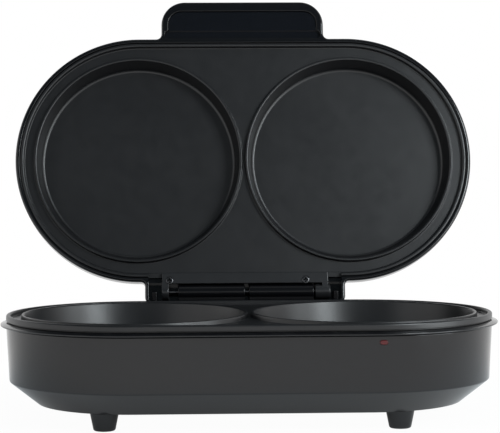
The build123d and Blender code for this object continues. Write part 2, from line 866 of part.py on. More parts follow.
def brim_plan():
    """Outline of the brim with the handle and the hood blended into it."""
    plan = SlotCenterToCenter(2 * half_straight, 2 * lid_radius)
    plan += tongue(handle_half_width, handle_front, 0, handle_corner)
    plan += hood_plan()
    for half_width, line, rounding in ((handle_half_width, -lid_radius, root_fillet),
                                       (hood_half_width, lid_radius, hood_root_fillet)):
        roots = [corner for corner in plan.vertices()
                 if math.isclose(abs(corner.X), half_width, abs_tol=root_search)
                 and math.isclose(corner.Y, line, abs_tol=root_search)]
        plan = fillet(roots, rounding)
    return plan


def lid_housing():
    brim_top = parting + brim_height
    roof_under = brim_top - lid_roof
    brim = Pos(0, 0, parting) * extrude(brim_plan(), brim_height)
    brim = fillet(brim.edges().group_by(Axis.Z)[-1], brim_rounding)
    brim = fillet(brim.edges().group_by(Axis.Z)[0], brim_edge_rounding)
    dome_foot = lid_radius - dome_foot_inset
    dome_outside = [
        (dome_foot, brim_top - root_sink),
        (lid_radius - dome_shoulder_inset, brim_top + dome_shoulder_rise),
        (lid_radius - dome_top_inset, brim_top + dome_top_rise),
        (0, brim_top + dome_crown_rise),
    ]
    dome = section([
        (0, brim_top - root_sink, 0),
        (*dome_outside[0], 0),
        (*dome_outside[1], dome_shoulder_rounding),
        (*dome_outside[2], dome_top_rounding),
        (*dome_outside[3], 0),
    ])
    shoulder, top_edge = inset(dome_outside, dome_wall)
    dome_hollow = section([
        (0, roof_under - cut_past, 0),
        (dome_foot - dome_wall, roof_under - cut_past, 0),
        (*shoulder, dome_shoulder_rounding - dome_wall),
        (*top_edge, dome_top_rounding - dome_wall),
        (0, brim_top + dome_crown_rise - dome_wall, 0),
    ])
    pocket_radius = plate_radius + pocket_gap
    ledge_radius = pocket_radius - seat_ledge_width
    ledge_level = parting + ridge_height + seat_gap
    ledge_top = ledge_level + seat_ledge_height
    tray_hollow = section([
        (0, parting - cut_past, 0),
        (pocket_radius, parting - cut_past, 0),
        (pocket_radius, ledge_level, 0),
        (ledge_radius, ledge_level, 0),
        (ledge_radius, ledge_top, 0),
        (pocket_radius, ledge_top, 0),
        (pocket_radius, roof_under, pocket_rounding),
        (0, roof_under, 0),
    ])
    lid = brim + around_stadium(dome)
    lid -= around_stadium(tray_hollow)
    lid -= around_stadium(dome_hollow)
    lid -= handle_pocket(roof_under)
    for x in liner_boss_places():
        lid += upright(liner_boss_radius, parting + liner_recess + liner_thickness, roof_under + root_sink,
                       x, liner_boss_y())
    lid -= hood_pocket(roof_under)
    lid += bar_rail(roof_under)
    for x in bar_screw_x:
        lid -= upright(bar_screw_radius + thread_gap, parting, bar_screw_seat() + bar_screw_shank + cut_past,
                       x, bar_screw_y())
    return lid


def groove_plan(gap):
    """Plan of the finger groove at the root of the handle, drawn smaller by a gap all round."""
    length = 2 * (handle_half_width - grip_groove_side - gap)
    return Pos(0, groove_y()) * SlotOverall(length, grip_groove_width - 2 * gap)


def groove_y():
    """Middle line of the finger groove."""
    return -lid_radius - grip_groove_setback - grip_groove_width / 2


def panel_plan(gap):
    """Plan of the hollow under the handle with its finger groove, drawn smaller by a gap all round."""
    panel = tongue(handle_half_width - handle_side_border - gap, handle_front + handle_border + gap,
                   groove_y(), handle_panel_corner - gap)
    return panel + groove_plan(gap)


def handle_pocket(roof_under):
    """Hollow of the handle tongue, open below inside its border."""
    return Pos(0, 0, parting - cut_past) * extrude(panel_plan(0), roof_under - parting + cut_past)


def liner_boss_places():
    """Bosses inside the handle that the liner rests against."""
    reach = handle_half_width - handle_side_border - liner_boss_inset
    return (-reach, 0, reach)


def liner_boss_y():
    return handle_front + handle_border + liner_boss_setback


def hood_pocket(roof_under):
    """Hollow of the hood, its back window, and the ear recesses beside the hinge bar."""
    inner_back = hood_back - hood_wall
    low = parting - cut_past
    ear_span = (-ear_half_width, ear_half_width)
    cavity = block(ear_span, (lid_radius, inner_back), (low, roof_under))
    window = block((-hood_window_half_width, hood_window_half_width),
                   (inner_back - cut_past, hood_back + cut_past), (low, parting + hood_window_rise))
    ears = block(ear_span, (ridge_inner, lid_radius + cut_past), (low, parting + ear_depth))
    return cavity + window + ears


def bar_bottom():
    """Lower face of the hinge bar while the lid is shut."""
    return parting + bar_seat_gap


def bar_top():
    """Upper face of the hinge bar, against the rail of the lid and the web of the plate."""
    return bar_bottom() + bar_thickness


def bar_back():
    """Rear edge of the hinge bar and its rail, in front of the barrels."""
    return hinge_y - bar_rear_gap


def bar_screw_y():
    return bar_back() - bar_screw_back


def bar_screw_seat():
    """Level that the heads of the hinge bar's screws are sunk to."""
    return bar_bottom() + bar_screw_head_depth


def bar_rail(roof_under):
    """Rail inside the hood that the hinge bar is screwed to."""
    half = bar_half_width - bar_rail_inset
    return block((-half, half), (plate_radius + pocket_gap, bar_back()), (bar_top(), roof_under + root_sink))


def hinge_bar():
    """Flat strip over the plate's web, with a collar on the pin at each end."""
    collars = (left_collar, right_collar)
    bar = block((-bar_half_width, bar_half_width), (hinge_bar_front() + bar_front_gap, bar_back()),
                (bar_bottom(), bar_top()))
    for start, end in collars:
        bar += along_x(barrel_radius, start, end, hinge_y, hinge_z)
    for link in (left_link, right_link):
        bar += block(link, (bar_back() - root_sink, hinge_y), (bar_bottom(), bar_top()))
    for start, end in collars:
        bar -= along_x(pin_radius + pin_running_gap, start - cut_past, end + cut_past, hinge_y, hinge_z)
    for x in bar_screw_x:
        bar -= upright(bar_screw_radius + bar_screw_gap, bar_bottom() - cut_past, bar_top() + cut_past,
                       x, bar_screw_y())
        bar -= upright(bar_screw_head_radius + bar_screw_gap, bar_bottom() - cut_past, bar_screw_seat(),
                       x, bar_screw_y())
    return bar


def bar_screw(x):
    return screw(bar_screw_head_radius, bar_screw_head_height, bar_screw_radius, bar_screw_shank,
                 x, bar_screw_y(), bar_screw_seat())


def handle_liner():
    """Cover in the underside of the handle, sunk along the finger groove."""
    level = parting + liner_recess
    liner = Pos(0, 0, level) * extrude(panel_plan(liner_gap), liner_thickness)
    groove = extrude(groove_plan(-liner_gap), grip_groove_depth + cut_past)
    return liner - Pos(0, 0, level - cut_past) * groove


def lid_screw(x, y, level):
    """Screw of the upper heat shield, its head above the sheet."""
    return screw(screw_head_radius, screw_head_height, screw_radius, screw_grip, x, y, level, direction=-1)


# Pieces of the base
plate_low = Pos(0, 0, rim_top)
lower_plate = plate_low * cooking_plate(lower_floor_thickness, lower_post_length)
for post in thermostat_posts(pan_offset, 0, lower_floor_under):
    lower_plate += post
base_pieces = {
    "base_housing": base_housing(),
    "feet": Compound(children=[foot(x, y) for x, y in foot_places()]),
    "foot_screws": Compound(children=[foot_screw(x, y) for x, y in foot_places()]),
    "lower_plate": lower_plate,
    "lower_plate_screws": Compound(children=[
        screw(screw_head_radius, screw_head_height, screw_radius,
              plate_boss_seat + lower_shield_thickness + screw_grip, x, y, plate_screw_seat())
        for x, y in post_places()]),
    "lower_element_right": plate_low * heating_element(lower_floor_thickness, 1),
    "lower_element_left": plate_low * heating_element(lower_floor_thickness, -1),
    "lower_terminals": plate_low * terminals(lower_floor_thickness),
    "lower_heat_shield": Pos(0, 0, lower_shield_top) * heat_shield(
        lower_shield_radius, lower_shield_thickness, lower_shield_rim),
    "lower_thermostat": thermostat(pan_offset, 0, lower_floor_under),
    "lower_thermostat_screws": Compound(children=thermostat_screws(pan_offset, 0, lower_floor_under)),
    "thermal_fuse": thermal_fuse(lower_floor_under),
    "fuse_clip": fuse_clip(lower_floor_under),
    "terminal_block": terminal_block(),
    "indicator_lens": indicator_lens(),
    "indicator_lamp": indicator_lamp(),
    "cord_gland": cord_gland(),
    "hinge_pin": hinge_pin(),
}

# Pieces of the lid: the upper plate and what it carries are drawn like the lower ones, then turned over
upper_floor_over = pan_depth + upper_floor_thickness
upper_raw = cooking_plate(upper_floor_thickness, upper_post_length, hinge_notch=True)
for post in thermostat_posts(pan_offset, 0, -upper_floor_over):
    upper_raw += post
shield_level = parting + upper_floor_over + upper_post_length


def flipped(shape):
    """Turn a shape drawn under a plate over and set it on the parting level."""
    return Pos(0, 0, parting) * mirror(shape, about=Plane.XY)


lid_pieces = {
    "lid_housing": lid_housing(),
    "handle_liner": handle_liner(),
    "hinge_bar": hinge_bar(),
    "hinge_bar_screws": Compound(children=[bar_screw(x) for x in bar_screw_x]),
    "upper_plate": flipped(upper_raw),
    "upper_element_right": flipped(heating_element(upper_floor_thickness, 1)),
    "upper_element_left": flipped(heating_element(upper_floor_thickness, -1)),
    "upper_terminals": flipped(terminals(upper_floor_thickness)),
    "upper_heat_shield": Pos(0, 0, shield_level) * mirror(
        heat_shield(upper_shield_radius, upper_shield_thickness, upper_shield_rim,
                    thermostat_radius + thermostat_window_margin), about=Plane.XY),
    "upper_shield_screws": Compound(children=[
        lid_screw(x, y, shield_level + upper_shield_thickness) for x, y in post_places()]),
    "upper_thermostat": flipped(thermostat(pan_offset, 0, -upper_floor_over)),
    "upper_thermostat_screws": flipped(Compound(
        children=thermostat_screws(pan_offset, 0, -upper_floor_over))),
}

# The lid stands open, and the origin goes under the middle of the whole product
pieces = dict(base_pieces)
for name, shape in lid_pieces.items():
    pieces[name] = shape.rotate(hinge_axis, -open_angle)
boxes = [shape.bounding_box() for shape in pieces.values()]
middle_y = (min(box.min.Y for box in boxes) + max(box.max.Y for box in boxes)) / 2
os.makedirs("parts", exist_ok=True)
for name, shape in pieces.items():
    export_step(Pos(0, -middle_y, 0) * shape, f"parts/{name}.step")
print("origin shift", round(middle_y, 3), "hinge", round(hinge_y - middle_y, 3), round(hinge_z, 3))
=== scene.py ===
"""Looks of a two-pan omelette maker that stands open: shells, cooking plates, hinge and studio."""

from __future__ import annotations

import json
import logging
import math
from dataclasses import dataclass, field
from enum import Enum
from typing import Any, Callable, Iterable, Sequence

import bmesh
import bpy
from mathutils import Matrix, Vector

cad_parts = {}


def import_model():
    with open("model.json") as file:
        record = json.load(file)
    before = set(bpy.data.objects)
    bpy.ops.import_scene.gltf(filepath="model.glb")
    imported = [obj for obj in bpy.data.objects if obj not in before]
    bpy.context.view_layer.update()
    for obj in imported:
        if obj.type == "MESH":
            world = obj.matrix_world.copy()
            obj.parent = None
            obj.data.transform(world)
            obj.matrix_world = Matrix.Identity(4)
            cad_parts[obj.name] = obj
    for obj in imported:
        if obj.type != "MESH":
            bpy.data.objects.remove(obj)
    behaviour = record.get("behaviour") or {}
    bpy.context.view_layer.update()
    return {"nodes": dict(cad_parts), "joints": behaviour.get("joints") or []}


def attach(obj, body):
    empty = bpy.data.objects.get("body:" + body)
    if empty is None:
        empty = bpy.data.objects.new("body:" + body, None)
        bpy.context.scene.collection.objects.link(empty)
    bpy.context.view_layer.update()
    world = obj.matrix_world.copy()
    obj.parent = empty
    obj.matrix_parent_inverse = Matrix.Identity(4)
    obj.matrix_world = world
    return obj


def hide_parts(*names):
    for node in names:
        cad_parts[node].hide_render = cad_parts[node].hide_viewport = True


LOG = logging.getLogger("omelette_maker")
MM = 0.001
SMOOTH_ANGLE = math.radians(32)

# How near points merge, how far a joined shape sinks in, how far a cutter reaches past, and a hair's gap
MERGE_DISTANCE = 0.002 * MM
SINK = 0.5 * MM
PAST = 1 * MM
HAIR = 0.01 * MM

Mesh = bmesh.types.BMesh
Span = tuple[float, float]
Place = Callable[[float, float], Vector]


class Body(Enum):
    """The two bodies that the lid hinge joins."""

    BASE = "base"
    LID = "lid"


class Axis(Enum):
    """A direction of the frame, as the number of its coordinate."""

    X = 0
    Y = 1
    Z = 2


class Cut(Enum):
    """What a set of tools does to a body."""

    ADD = "UNION"
    REMOVE = "DIFFERENCE"


# Shader expressions


class Wire:
    """A shader socket that takes part in Python expressions."""

    def __init__(self, sheet: NodeSheet, socket: bpy.types.NodeSocket) -> None:
        """Wrap one output socket of a node sheet."""
        self.sheet = sheet
        self.socket = socket

    def __add__(self, other: Any) -> Wire:
        """Sum, from either side."""
        return self.sheet.maths("ADD", self, other)

    __radd__ = __add__

    def __sub__(self, other: Any) -> Wire:
        """Difference."""
        return self.sheet.maths("SUBTRACT", self, other)

    def __rsub__(self, other: Any) -> Wire:
        """Difference from the right."""
        return self.sheet.maths("SUBTRACT", other, self)

    def __mul__(self, other: Any) -> Wire:
        """Product."""
        return self.sheet.maths("MULTIPLY", self, other)


class NodeSheet:
    """A node tree that is filled through expressions."""

    def __init__(self, tree: bpy.types.NodeTree) -> None:
        """Start with an empty tree."""
        self.tree = tree
        tree.nodes.clear()

    def node(self, kind: str, settings: dict[str, Any] | None = None, **inputs: Any) -> bpy.types.Node:
        """Add a node.

        Args:
            kind: the node's type.
            settings: its own properties, set before its sockets.
            inputs: values or wires of its sockets, by name with underscores for spaces, or as i0, i1.

        Returns:
            The node.
        """
        made = self.tree.nodes.new(kind)
        for key, value in (settings or {}).items():
            setattr(made, key, value)
        for key, value in inputs.items():
            numbered = key[0] == "i" and key[1:].isdigit()
            self.feed(made.inputs[int(key[1:]) if numbered else key.replace("_", " ")], value)
        return made

    def out(self, kind: str, output: str | int, settings: dict[str, Any] | None = None,
            **inputs: Any) -> Wire:
        """Add a node and take one of its outputs as a wire."""
        return Wire(self, self.node(kind, settings, **inputs).outputs[output])

    def outs(self, kind: str, outputs: Sequence[str], **inputs: Any) -> list[Wire]:
        """Add a node and take several of its outputs as wires."""
        made = self.node(kind, **inputs)
        return [Wire(self, made.outputs[output]) for output in outputs]

    def feed(self, socket: bpy.types.NodeSocket, value: Any) -> None:
        """Link a wire to a socket, or set the socket's own value."""
        if isinstance(value, Wire):
            self.tree.links.new(value.socket, socket)
        else:
            socket.default_value = value

    def maths(self, operation: str, *values: Any) -> Wire:
        """Add a Math node on values or wires."""
        inputs = {f"i{index}": value for index, value in enumerate(values)}
        return self.out("ShaderNodeMath", 0, {"operation": operation}, **inputs)

    def blend_colours(self, share: Any, first: Any, second: Any) -> Wire:
        """Mix two colours by a share."""
        return self.out("ShaderNodeMix", 2, {"data_type": "RGBA"}, i0=share, i6=first, i7=second)

    def ramp(self, value: Wire, span: Span, eased: bool = False) -> Wire:
        """Rise from nought to one over a span of values, with eased ends if asked."""
        settings = {"interpolation_type": "SMOOTHSTEP"} if eased else {"clamp": True}
        return self.out("ShaderNodeMapRange", 0, settings, Value=value, From_Min=span[0], From_Max=span[1])


def grey(level: float) -> tuple[float, float, float, float]:
    """A neutral colour."""
    return (level, level, level, 1.0)


# Finishes

CLOUD_SIZE = 9 * MM
DUST_COLOUR = (0.45, 0.44, 0.42, 1.0)
DUST_ROUGHNESS = 0.3
DUST_FACING = (0.6, 1.0)
DUST_CLOUDS = (0.5, 0.8)


@dataclass(frozen=True)
class Finish:
    """A surface finish: colour, gloss and the fine relief of the surface.

    The relief is a grain of one size under a wide, faint unevenness, and dust lies on what faces up.
    """

    name: str
    colour: tuple[float, float, float]
    roughness: float
    metallic: float = 0.0
    specular: float = 0.5
    grain_size: float = 0.6 * MM
    grain_depth: float = 0.01 * MM
    wave_size: float = 30 * MM
    wave_depth: float = 0.0
    roughness_spread: float = 0.06
    colour_spread: float = 0.15
    dust: float = 0.0

    def material(self) -> bpy.types.Material:
        """Make the material once, and give the same one afterwards."""
        found = bpy.data.materials.get(self.name)
        if found:
            return found
        made = bpy.data.materials.new(self.name)
        made.use_nodes = True
        sheet = NodeSheet(made.node_tree)
        shader = sheet.node("ShaderNodeBsdfPrincipled", Metallic=self.metallic,
                            Specular_IOR_Level=self.specular)
        self.dress(sheet, shader)
        sheet.node("ShaderNodeOutputMaterial", Surface=Wire(sheet, shader.outputs[0]))
        return made

    def dress(self, sheet: NodeSheet, shader: bpy.types.Node) -> None:
        """Feed the shader's colour, roughness and normal.

        Args:
            sheet: the node sheet of the material.
            shader: its main shader node.
        """
        place = sheet.out("ShaderNodeTexCoord", "Object")
        grain = self.noise(sheet, place, self.grain_size, 3.0)
        wave = self.noise(sheet, place, self.wave_size, 2.0)
        cloud = self.noise(sheet, place, CLOUD_SIZE, 4.0)
        dust = self.dust_mask(sheet, cloud) * self.dust
        tone = 1.0 + (cloud - 0.5) * self.colour_spread + (grain - 0.5) * self.colour_spread
        base = sheet.out("ShaderNodeVectorMath", 0, {"operation": "SCALE"}, i0=self.colour, Scale=tone)
        sheet.feed(shader.inputs["Base Color"], sheet.blend_colours(dust, base, DUST_COLOUR))
        rough = (self.roughness + (cloud - 0.5) * self.roughness_spread
                 + (wave - 0.5) * self.roughness_spread)
        sheet.feed(shader.inputs["Roughness"], rough + dust * DUST_ROUGHNESS)
        height = grain * self.grain_depth + wave * self.wave_depth
        normal = sheet.out("ShaderNodeBump", 0, Height=height, Strength=1.0, Distance=1.0)
        sheet.feed(shader.inputs["Normal"], normal)

    @staticmethod
    def noise(sheet: NodeSheet, place: Wire, size: float, detail: float) -> Wire:
        """Noise whose blotches have about one size."""
        return sheet.out("ShaderNodeTexNoise", 0, Vector=place, Scale=1 / size, Detail=detail,
                         Roughness=0.55)

    @staticmethod
    def dust_mask(sheet: NodeSheet, cloud: Wire) -> Wire:
        """Where dust settles: on faces that look up, in thin clouds."""
        normal = sheet.out("ShaderNodeNewGeometry", "Normal")
        up = sheet.out("ShaderNodeSeparateXYZ", "Z", Vector=normal)
        return sheet.ramp(up, DUST_FACING) * sheet.ramp(cloud, DUST_CLOUDS)


@dataclass(frozen=True)
class ClearFinish(Finish):
    """A translucent finish that lets part of the light through."""

    transmission: float = 0.5

    def dress(self, sheet: NodeSheet, shader: bpy.types.Node) -> None:
        """Feed the shader as a finish does, and let light through."""
        super().dress(sheet, shader)
        shader.inputs["Transmission Weight"].default_value = self.transmission


GLOSS_BLACK = Finish("gloss_black_moulding", (0.0045, 0.0045, 0.0052), 0.13, grain_depth=0.0004 * MM,
                     wave_depth=0.01 * MM, roughness_spread=0.05, dust=0.015)
BARREL_BLACK = Finish("barrel_black_moulding", (0.0028, 0.0028, 0.0035), 0.24, specular=0.3,
                      grain_depth=0.002 * MM, dust=0.005)
STRIP_BLACK = Finish("strip_black_moulding", (0.014, 0.014, 0.015), 0.3, grain_size=0.4 * MM,
                     grain_depth=0.002 * MM, dust=0.01)
HANDLE_BLACK = Finish("handle_black_moulding", (0.0035, 0.004, 0.0058), 0.16, grain_depth=0.0004 * MM,
                      wave_depth=0.01 * MM, dust=0.01)
FOOT_RUBBER = Finish("foot_rubber_skin", (0.008, 0.008, 0.0085), 0.16, grain_size=0.5 * MM,
                     grain_depth=0.001 * MM)
GLAND_RUBBER = Finish("gland_rubber_skin", (0.02, 0.02, 0.02), 0.5, grain_size=0.5 * MM,
                      grain_depth=0.008 * MM)
NON_STICK = Finish("non_stick_coat", (0.0062, 0.0062, 0.007), 0.36, specular=0.55, grain_size=0.45 * MM,
                   grain_depth=0.012 * MM, wave_size=60 * MM, roughness_spread=0.08, colour_spread=0.4,
                   dust=0.01)
ZINC_STEEL = Finish("zinc_plating", (0.62, 0.62, 0.6), 0.32, metallic=1.0, grain_size=0.3 * MM,
                    grain_depth=0.002 * MM, roughness_spread=0.2)
DARK_STEEL = Finish("blackened_screw_steel", (0.11, 0.11, 0.115), 0.3, metallic=1.0, grain_size=0.3 * MM,
                    grain_depth=0.002 * MM, roughness_spread=0.15)
ELEMENT_STEEL = Finish("drawn_element_tube", (0.36, 0.35, 0.33), 0.38, metallic=1.0, grain_size=0.8 * MM,
                       grain_depth=0.004 * MM, roughness_spread=0.2)
SHEET_STEEL = Finish("aluminised_sheet", (0.62, 0.63, 0.64), 0.4, metallic=1.0, grain_size=1.2 * MM,
                     grain_depth=0.004 * MM, roughness_spread=0.2)
SHEET_ALUMINIUM = Finish("rolled_aluminium", (0.72, 0.73, 0.74), 0.3, metallic=1.0, grain_size=0.9 * MM,
                         grain_depth=0.002 * MM, roughness_spread=0.15)
CERAMIC = Finish("unglazed_ceramic", (0.84, 0.82, 0.77), 0.6, grain_size=0.25 * MM, grain_depth=0.01 * MM)
PHENOLIC = Finish("thermostat_phenolic", (0.10, 0.085, 0.075), 0.45, grain_size=0.3 * MM,
                  grain_depth=0.006 * MM)
RED_LENS = ClearFinish("red_lens_plastic", (0.12, 0.006, 0.008), 0.12, grain_depth=0.0005 * MM,
                       transmission=0.35)
LAMP_GLASS = ClearFinish("lamp_bulb_glass", (0.92, 0.82, 0.72), 0.08, grain_depth=0.0005 * MM,
                         transmission=0.9)

PACKED_FINISHES: tuple[tuple[Finish, tuple[str, ...]], ...] = (
    (ZINC_STEEL, ("foot_screws", "lower_plate_screws", "lower_thermostat_screws", "thermal_fuse",
                  "upper_shield_screws", "upper_thermostat_screws")),
    (ELEMENT_STEEL, ("lower_element_right", "lower_element_left", "upper_element_right",
                     "upper_element_left")),
    (CERAMIC, ("lower_terminals", "terminal_block", "upper_terminals")),
    (SHEET_STEEL, ("lower_heat_shield", "fuse_clip")),
    (SHEET_ALUMINIUM, ("upper_heat_shield",)),
    (PHENOLIC, ("lower_thermostat", "upper_thermostat")),
    (LAMP_GLASS, ("indicator_lamp",)),
)


# Shapes made with mesh operators


@dataclass(frozen=True)
class Corner:
    """A corner of a section or plan, with the radius and the edges of its rounding."""

    u: float
    v: float
    rounding: float = 0.0
    steps: int = 0

    @property
    def point(self) -> Vector:
        """Where the corner lies in its plane."""
        return Vector((self.u, self.v))


def corners(*rows: Sequence[float]) -> list[Corner]:
    """Corners from rows of two, three or four values."""
    return [Corner(*row) for row in rows]


def mirrored(half: Sequence[Corner]) -> list[Corner]:
    """A closed plan from its right half."""
    other = [Corner(-corner.u, corner.v, corner.rounding, corner.steps) for corner in reversed(half)]
    return [*half, *other]


def either_side(half: float, middle: float = 0.0) -> Span:
    """The span that reaches equally far to either side of a middle."""
    return (middle - half, middle + half)


def oblong(x_span: Span, y_span: Span, rounding: float) -> list[Corner]:
    """The plan of a rectangle with rounded corners."""
    (left, right), (near, far) = x_span, y_span
    return corners((left, near, rounding), (right, near, rounding), (right, far, rounding),
                   (left, far, rounding))


def inset_corner(before: Corner, here: Corner, after: Corner, wall: float, rounding: float,
                 steps: int = 0) -> Corner:
    """The corner of the inner face of a wall, to the left of the line's direction.

    Args:
        before: the corner before it on the outer face.
        here: the corner of the outer face.
        after: the corner after it on the outer face.
        wall: the thickness of the wall.
        rounding: the radius that rounds the inner corner.
        steps: how many edges that rounding gets.

    Returns:
        The inner corner.
    """
    arriving = (here.point - before.point).normalized()
    leaving = (after.point - here.point).normalized()
    left = Vector((-arriving.y - leaving.y, arriving.x + leaving.x))
    place = here.point + left * (wall / (1 + arriving.dot(leaving)))
    return Corner(place.x, place.y, rounding, steps)


def only(kind: type, parts: Iterable[Any]) -> list[Any]:
    """The parts of a mesh that are of one kind."""
    return [part for part in parts if isinstance(part, kind)]


def edges_at(bm: Mesh, level: float) -> list[bmesh.types.BMEdge]:
    """The edges that lie flat at a level."""
    return [edge for edge in bm.edges
            if all(abs(vert.co.z - level) < MERGE_DISTANCE for vert in edge.verts)]


def bevelled(bm: Mesh, geometry: Sequence[Any], reach: float, segments: int, affect: str = "EDGES") -> Mesh:
    """Round edges or vertices of a mesh."""
    bmesh.ops.bevel(bm, geom=geometry, offset=reach, offset_type="OFFSET", segments=segments, profile=0.5,
                    affect=affect, material=-1)
    return bm


def rounded_line(line: Sequence[Corner], place: Place, closed: bool = False, segments: int = 5) -> Mesh:
    """A line of edges through corners, each rounded with a bevel of its vertex.

    Args:
        line: the corners in order.
        place: where a corner's two values go in space.
        closed: whether the last corner joins the first.
        segments: how many edges a rounding gets.

    Returns:
        A mesh that holds only the line.
    """
    bm = bmesh.new()
    verts = [bm.verts.new(place(corner.u, corner.v)) for corner in line]
    pairs = list(zip(verts, verts[1:]))
    if closed:
        pairs.append((verts[-1], verts[0]))
    for pair in pairs:
        bm.edges.new(pair)
    for index, corner in enumerate(line):
        if corner.rounding <= 0:
            continue
        arriving = corner.point - line[index - 1].point
        leaving = line[(index + 1) % len(line)].point - corner.point
        reach = corner.rounding * math.tan(arriving.angle(leaving) / 2)
        bevelled(bm, [verts[index]], reach, corner.steps or segments, "VERTICES")
    bmesh.ops.remove_doubles(bm, verts=bm.verts, dist=MERGE_DISTANCE)
    return bm


def closed_shell(bm: Mesh) -> Mesh:
    """Merge what meets and turn every face outwards."""
    bmesh.ops.remove_doubles(bm, verts=bm.verts, dist=MERGE_DISTANCE)
    bmesh.ops.dissolve_degenerate(bm, edges=bm.edges, dist=MERGE_DISTANCE)
    bmesh.ops.recalc_face_normals(bm, faces=bm.faces)
    return bm


def turned(line: Sequence[Corner], x: float = 0.0, y: float = 0.0, steps: int = 96,
           closed: bool = False) -> Mesh:
    """Turn a line of radius and level about an upright axis.

    Args:
        line: the corners of the section.
        x: the axis's place from side to side.
        y: the axis's place from front to back.
        steps: how many flats go round.
        closed: whether the section is a closed loop.

    Returns:
        The turned mesh.
    """
    bm = rounded_line(line, lambda u, v: Vector((x + u, y, v)), closed)
    bmesh.ops.spin(bm, geom=bm.verts[:] + bm.edges[:], cent=(x, y, 0), axis=(0, 0, 1), dvec=(0, 0, 0),
                   angle=math.tau, steps=steps, use_merge=True, use_duplicate=False)
    return closed_shell(bm)


def swept(line: Sequence[Corner], half_straight: float, steps: int = 72) -> Mesh:
    """Carry a line of radius and level round two half rounds and along the straight runs between them.

    Args:
        line: the corners of the section.
        half_straight: half the length of a straight run.
        steps: how many flats go round each half round.

    Returns:
        The swept mesh.
    """
    bm = rounded_line(line, lambda u, v: Vector((half_straight, -u, v)))
    geometry = bm.verts[:] + bm.edges[:]
    for side in (1, -1):
        half_round = bmesh.ops.spin(bm, geom=geometry, cent=(side * half_straight, 0, 0), axis=(0, 0, 1),
                                    dvec=(0, 0, 0), angle=math.pi, steps=steps, use_duplicate=False)
        edges = only(bmesh.types.BMEdge, half_round["geom_last"])
        run = bmesh.ops.extrude_edge_only(bm, edges=edges)["geom"]
        fresh = only(bmesh.types.BMVert, run)
        bmesh.ops.translate(bm, verts=fresh, vec=(-2 * side * half_straight, 0, 0))
        geometry = fresh + only(bmesh.types.BMEdge, run)
    return closed_shell(bm)


def carried(bm: Mesh, step: Sequence[float]) -> Mesh:
    """Fill the one loop of a mesh and carry it along a step, into a closed shape."""
    bmesh.ops.contextual_create(bm, geom=bm.edges[:])
    moved = bmesh.ops.extrude_face_region(bm, geom=bm.faces[:])["geom"]
    bmesh.ops.translate(bm, verts=only(bmesh.types.BMVert, moved), vec=step)
    return closed_shell(bm)


def raised(plan: Sequence[Corner], low: float, high: float, segments: int = 8, top_rounding: float = 0.0,
           bottom_rounding: float = 0.0, edge_segments: int = 4) -> Mesh:
    """Raise a plan from one level to another.

    Args:
        plan: the corners of the plan in order.
        low: the lower level.
        high: the upper level.
        segments: how many edges a rounding of the plan gets.
        top_rounding: the radius of the upper edge.
        bottom_rounding: the radius of the lower edge.
        edge_segments: how many faces those edges get.

    Returns:
        A closed mesh.
    """
    bm = rounded_line(plan, lambda u, v: Vector((u, v, low)), True, segments)
    carried(bm, (0, 0, high - low))
    for level, rounding in ((high, top_rounding), (low, bottom_rounding)):
        if rounding > 0:
            bevelled(bm, edges_at(bm, level), rounding, edge_segments)
    return bm


def block(x_span: Span, y_span: Span, z_span: Span, rounding: float = 0.0) -> Mesh:
    """A block between three pairs of limits, with its edges rounded if asked.

    Args:
        x_span: its limits from side to side.
        y_span: its limits from front to back.
        z_span: its lower and upper level.
        rounding: the radius of its edges.

    Returns:
        A closed mesh.
    """
    bm = bmesh.new()
    spans = (x_span, y_span, z_span)
    centre = Vector([(low + high) / 2 for low, high in spans])
    size = [high - low for low, high in spans]
    bmesh.ops.create_cube(bm, size=1.0, matrix=Matrix.Translation(centre) @ Matrix.Diagonal((*size, 1.0)))
    if rounding > 0:
        bevelled(bm, bm.edges[:], rounding, 3)
    bmesh.ops.recalc_face_normals(bm, faces=bm.faces)
    return bm


def bar(radius: float, middle: Sequence[float], axis: Axis, span: Span, steps: int = 48,
        rounding: float = 0.0) -> Mesh:
    """A round bar along an axis.

    Args:
        radius: its radius.
        middle: a point whose other two coordinates place its middle line.
        axis: the axis that it lies along.
        span: where it starts and ends on that axis.
        steps: how many flats go round it.
        rounding: the radius of its end edges.

    Returns:
        A closed mesh.
    """
    start, end = Vector(middle), Vector(middle)
    start[axis.value], end[axis.value] = span
    along = end - start
    bm = bmesh.new()
    bmesh.ops.create_cone(bm, cap_ends=True, segments=steps, radius1=radius, radius2=radius,
                          depth=along.length)
    if rounding > 0:
        rims = [edge for edge in bm.edges if abs(edge.verts[0].co.z - edge.verts[1].co.z) < MERGE_DISTANCE]
        bevelled(bm, rims, rounding, 3)
    turn = along.to_track_quat("Z", "Y").to_matrix().to_4x4()
    bmesh.ops.transform(bm, matrix=Matrix.Translation((start + end) / 2) @ turn, verts=bm.verts)
    return bm


def laid_back(bm: Mesh, place: Sequence[float]) -> Mesh:
    """Tip a mesh that was drawn upright so that it points to the back, and move it to a place."""
    bmesh.ops.rotate(bm, verts=bm.verts, cent=(0, 0, 0), matrix=Matrix.Rotation(-math.pi / 2, 3, "X"))
    bmesh.ops.translate(bm, verts=bm.verts, vec=place)
    return bm


def slot_bar(width: float, height: float, x: float, level: float, y_span: Span) -> Mesh:
    """A bar from front to back with a round-ended section.

    Args:
        width: its size from side to side.
        height: its size from bottom to top.
        x: its middle from side to side.
        level: the level of its middle.
        y_span: where it starts and ends.

    Returns:
        A closed mesh.
    """
    plan = oblong(either_side(width / 2), either_side(height / 2), height / 2)
    return laid_back(raised(plan, 0.0, y_span[1] - y_span[0], segments=12), (x, y_span[0], level))


def as_object(name: str, bm: Mesh) -> bpy.types.Object:
    """Put a mesh into an object of its own."""
    mesh = bpy.data.meshes.new(name)
    bm.to_mesh(mesh)
    bm.free()
    return bpy.data.objects.new(name, mesh)


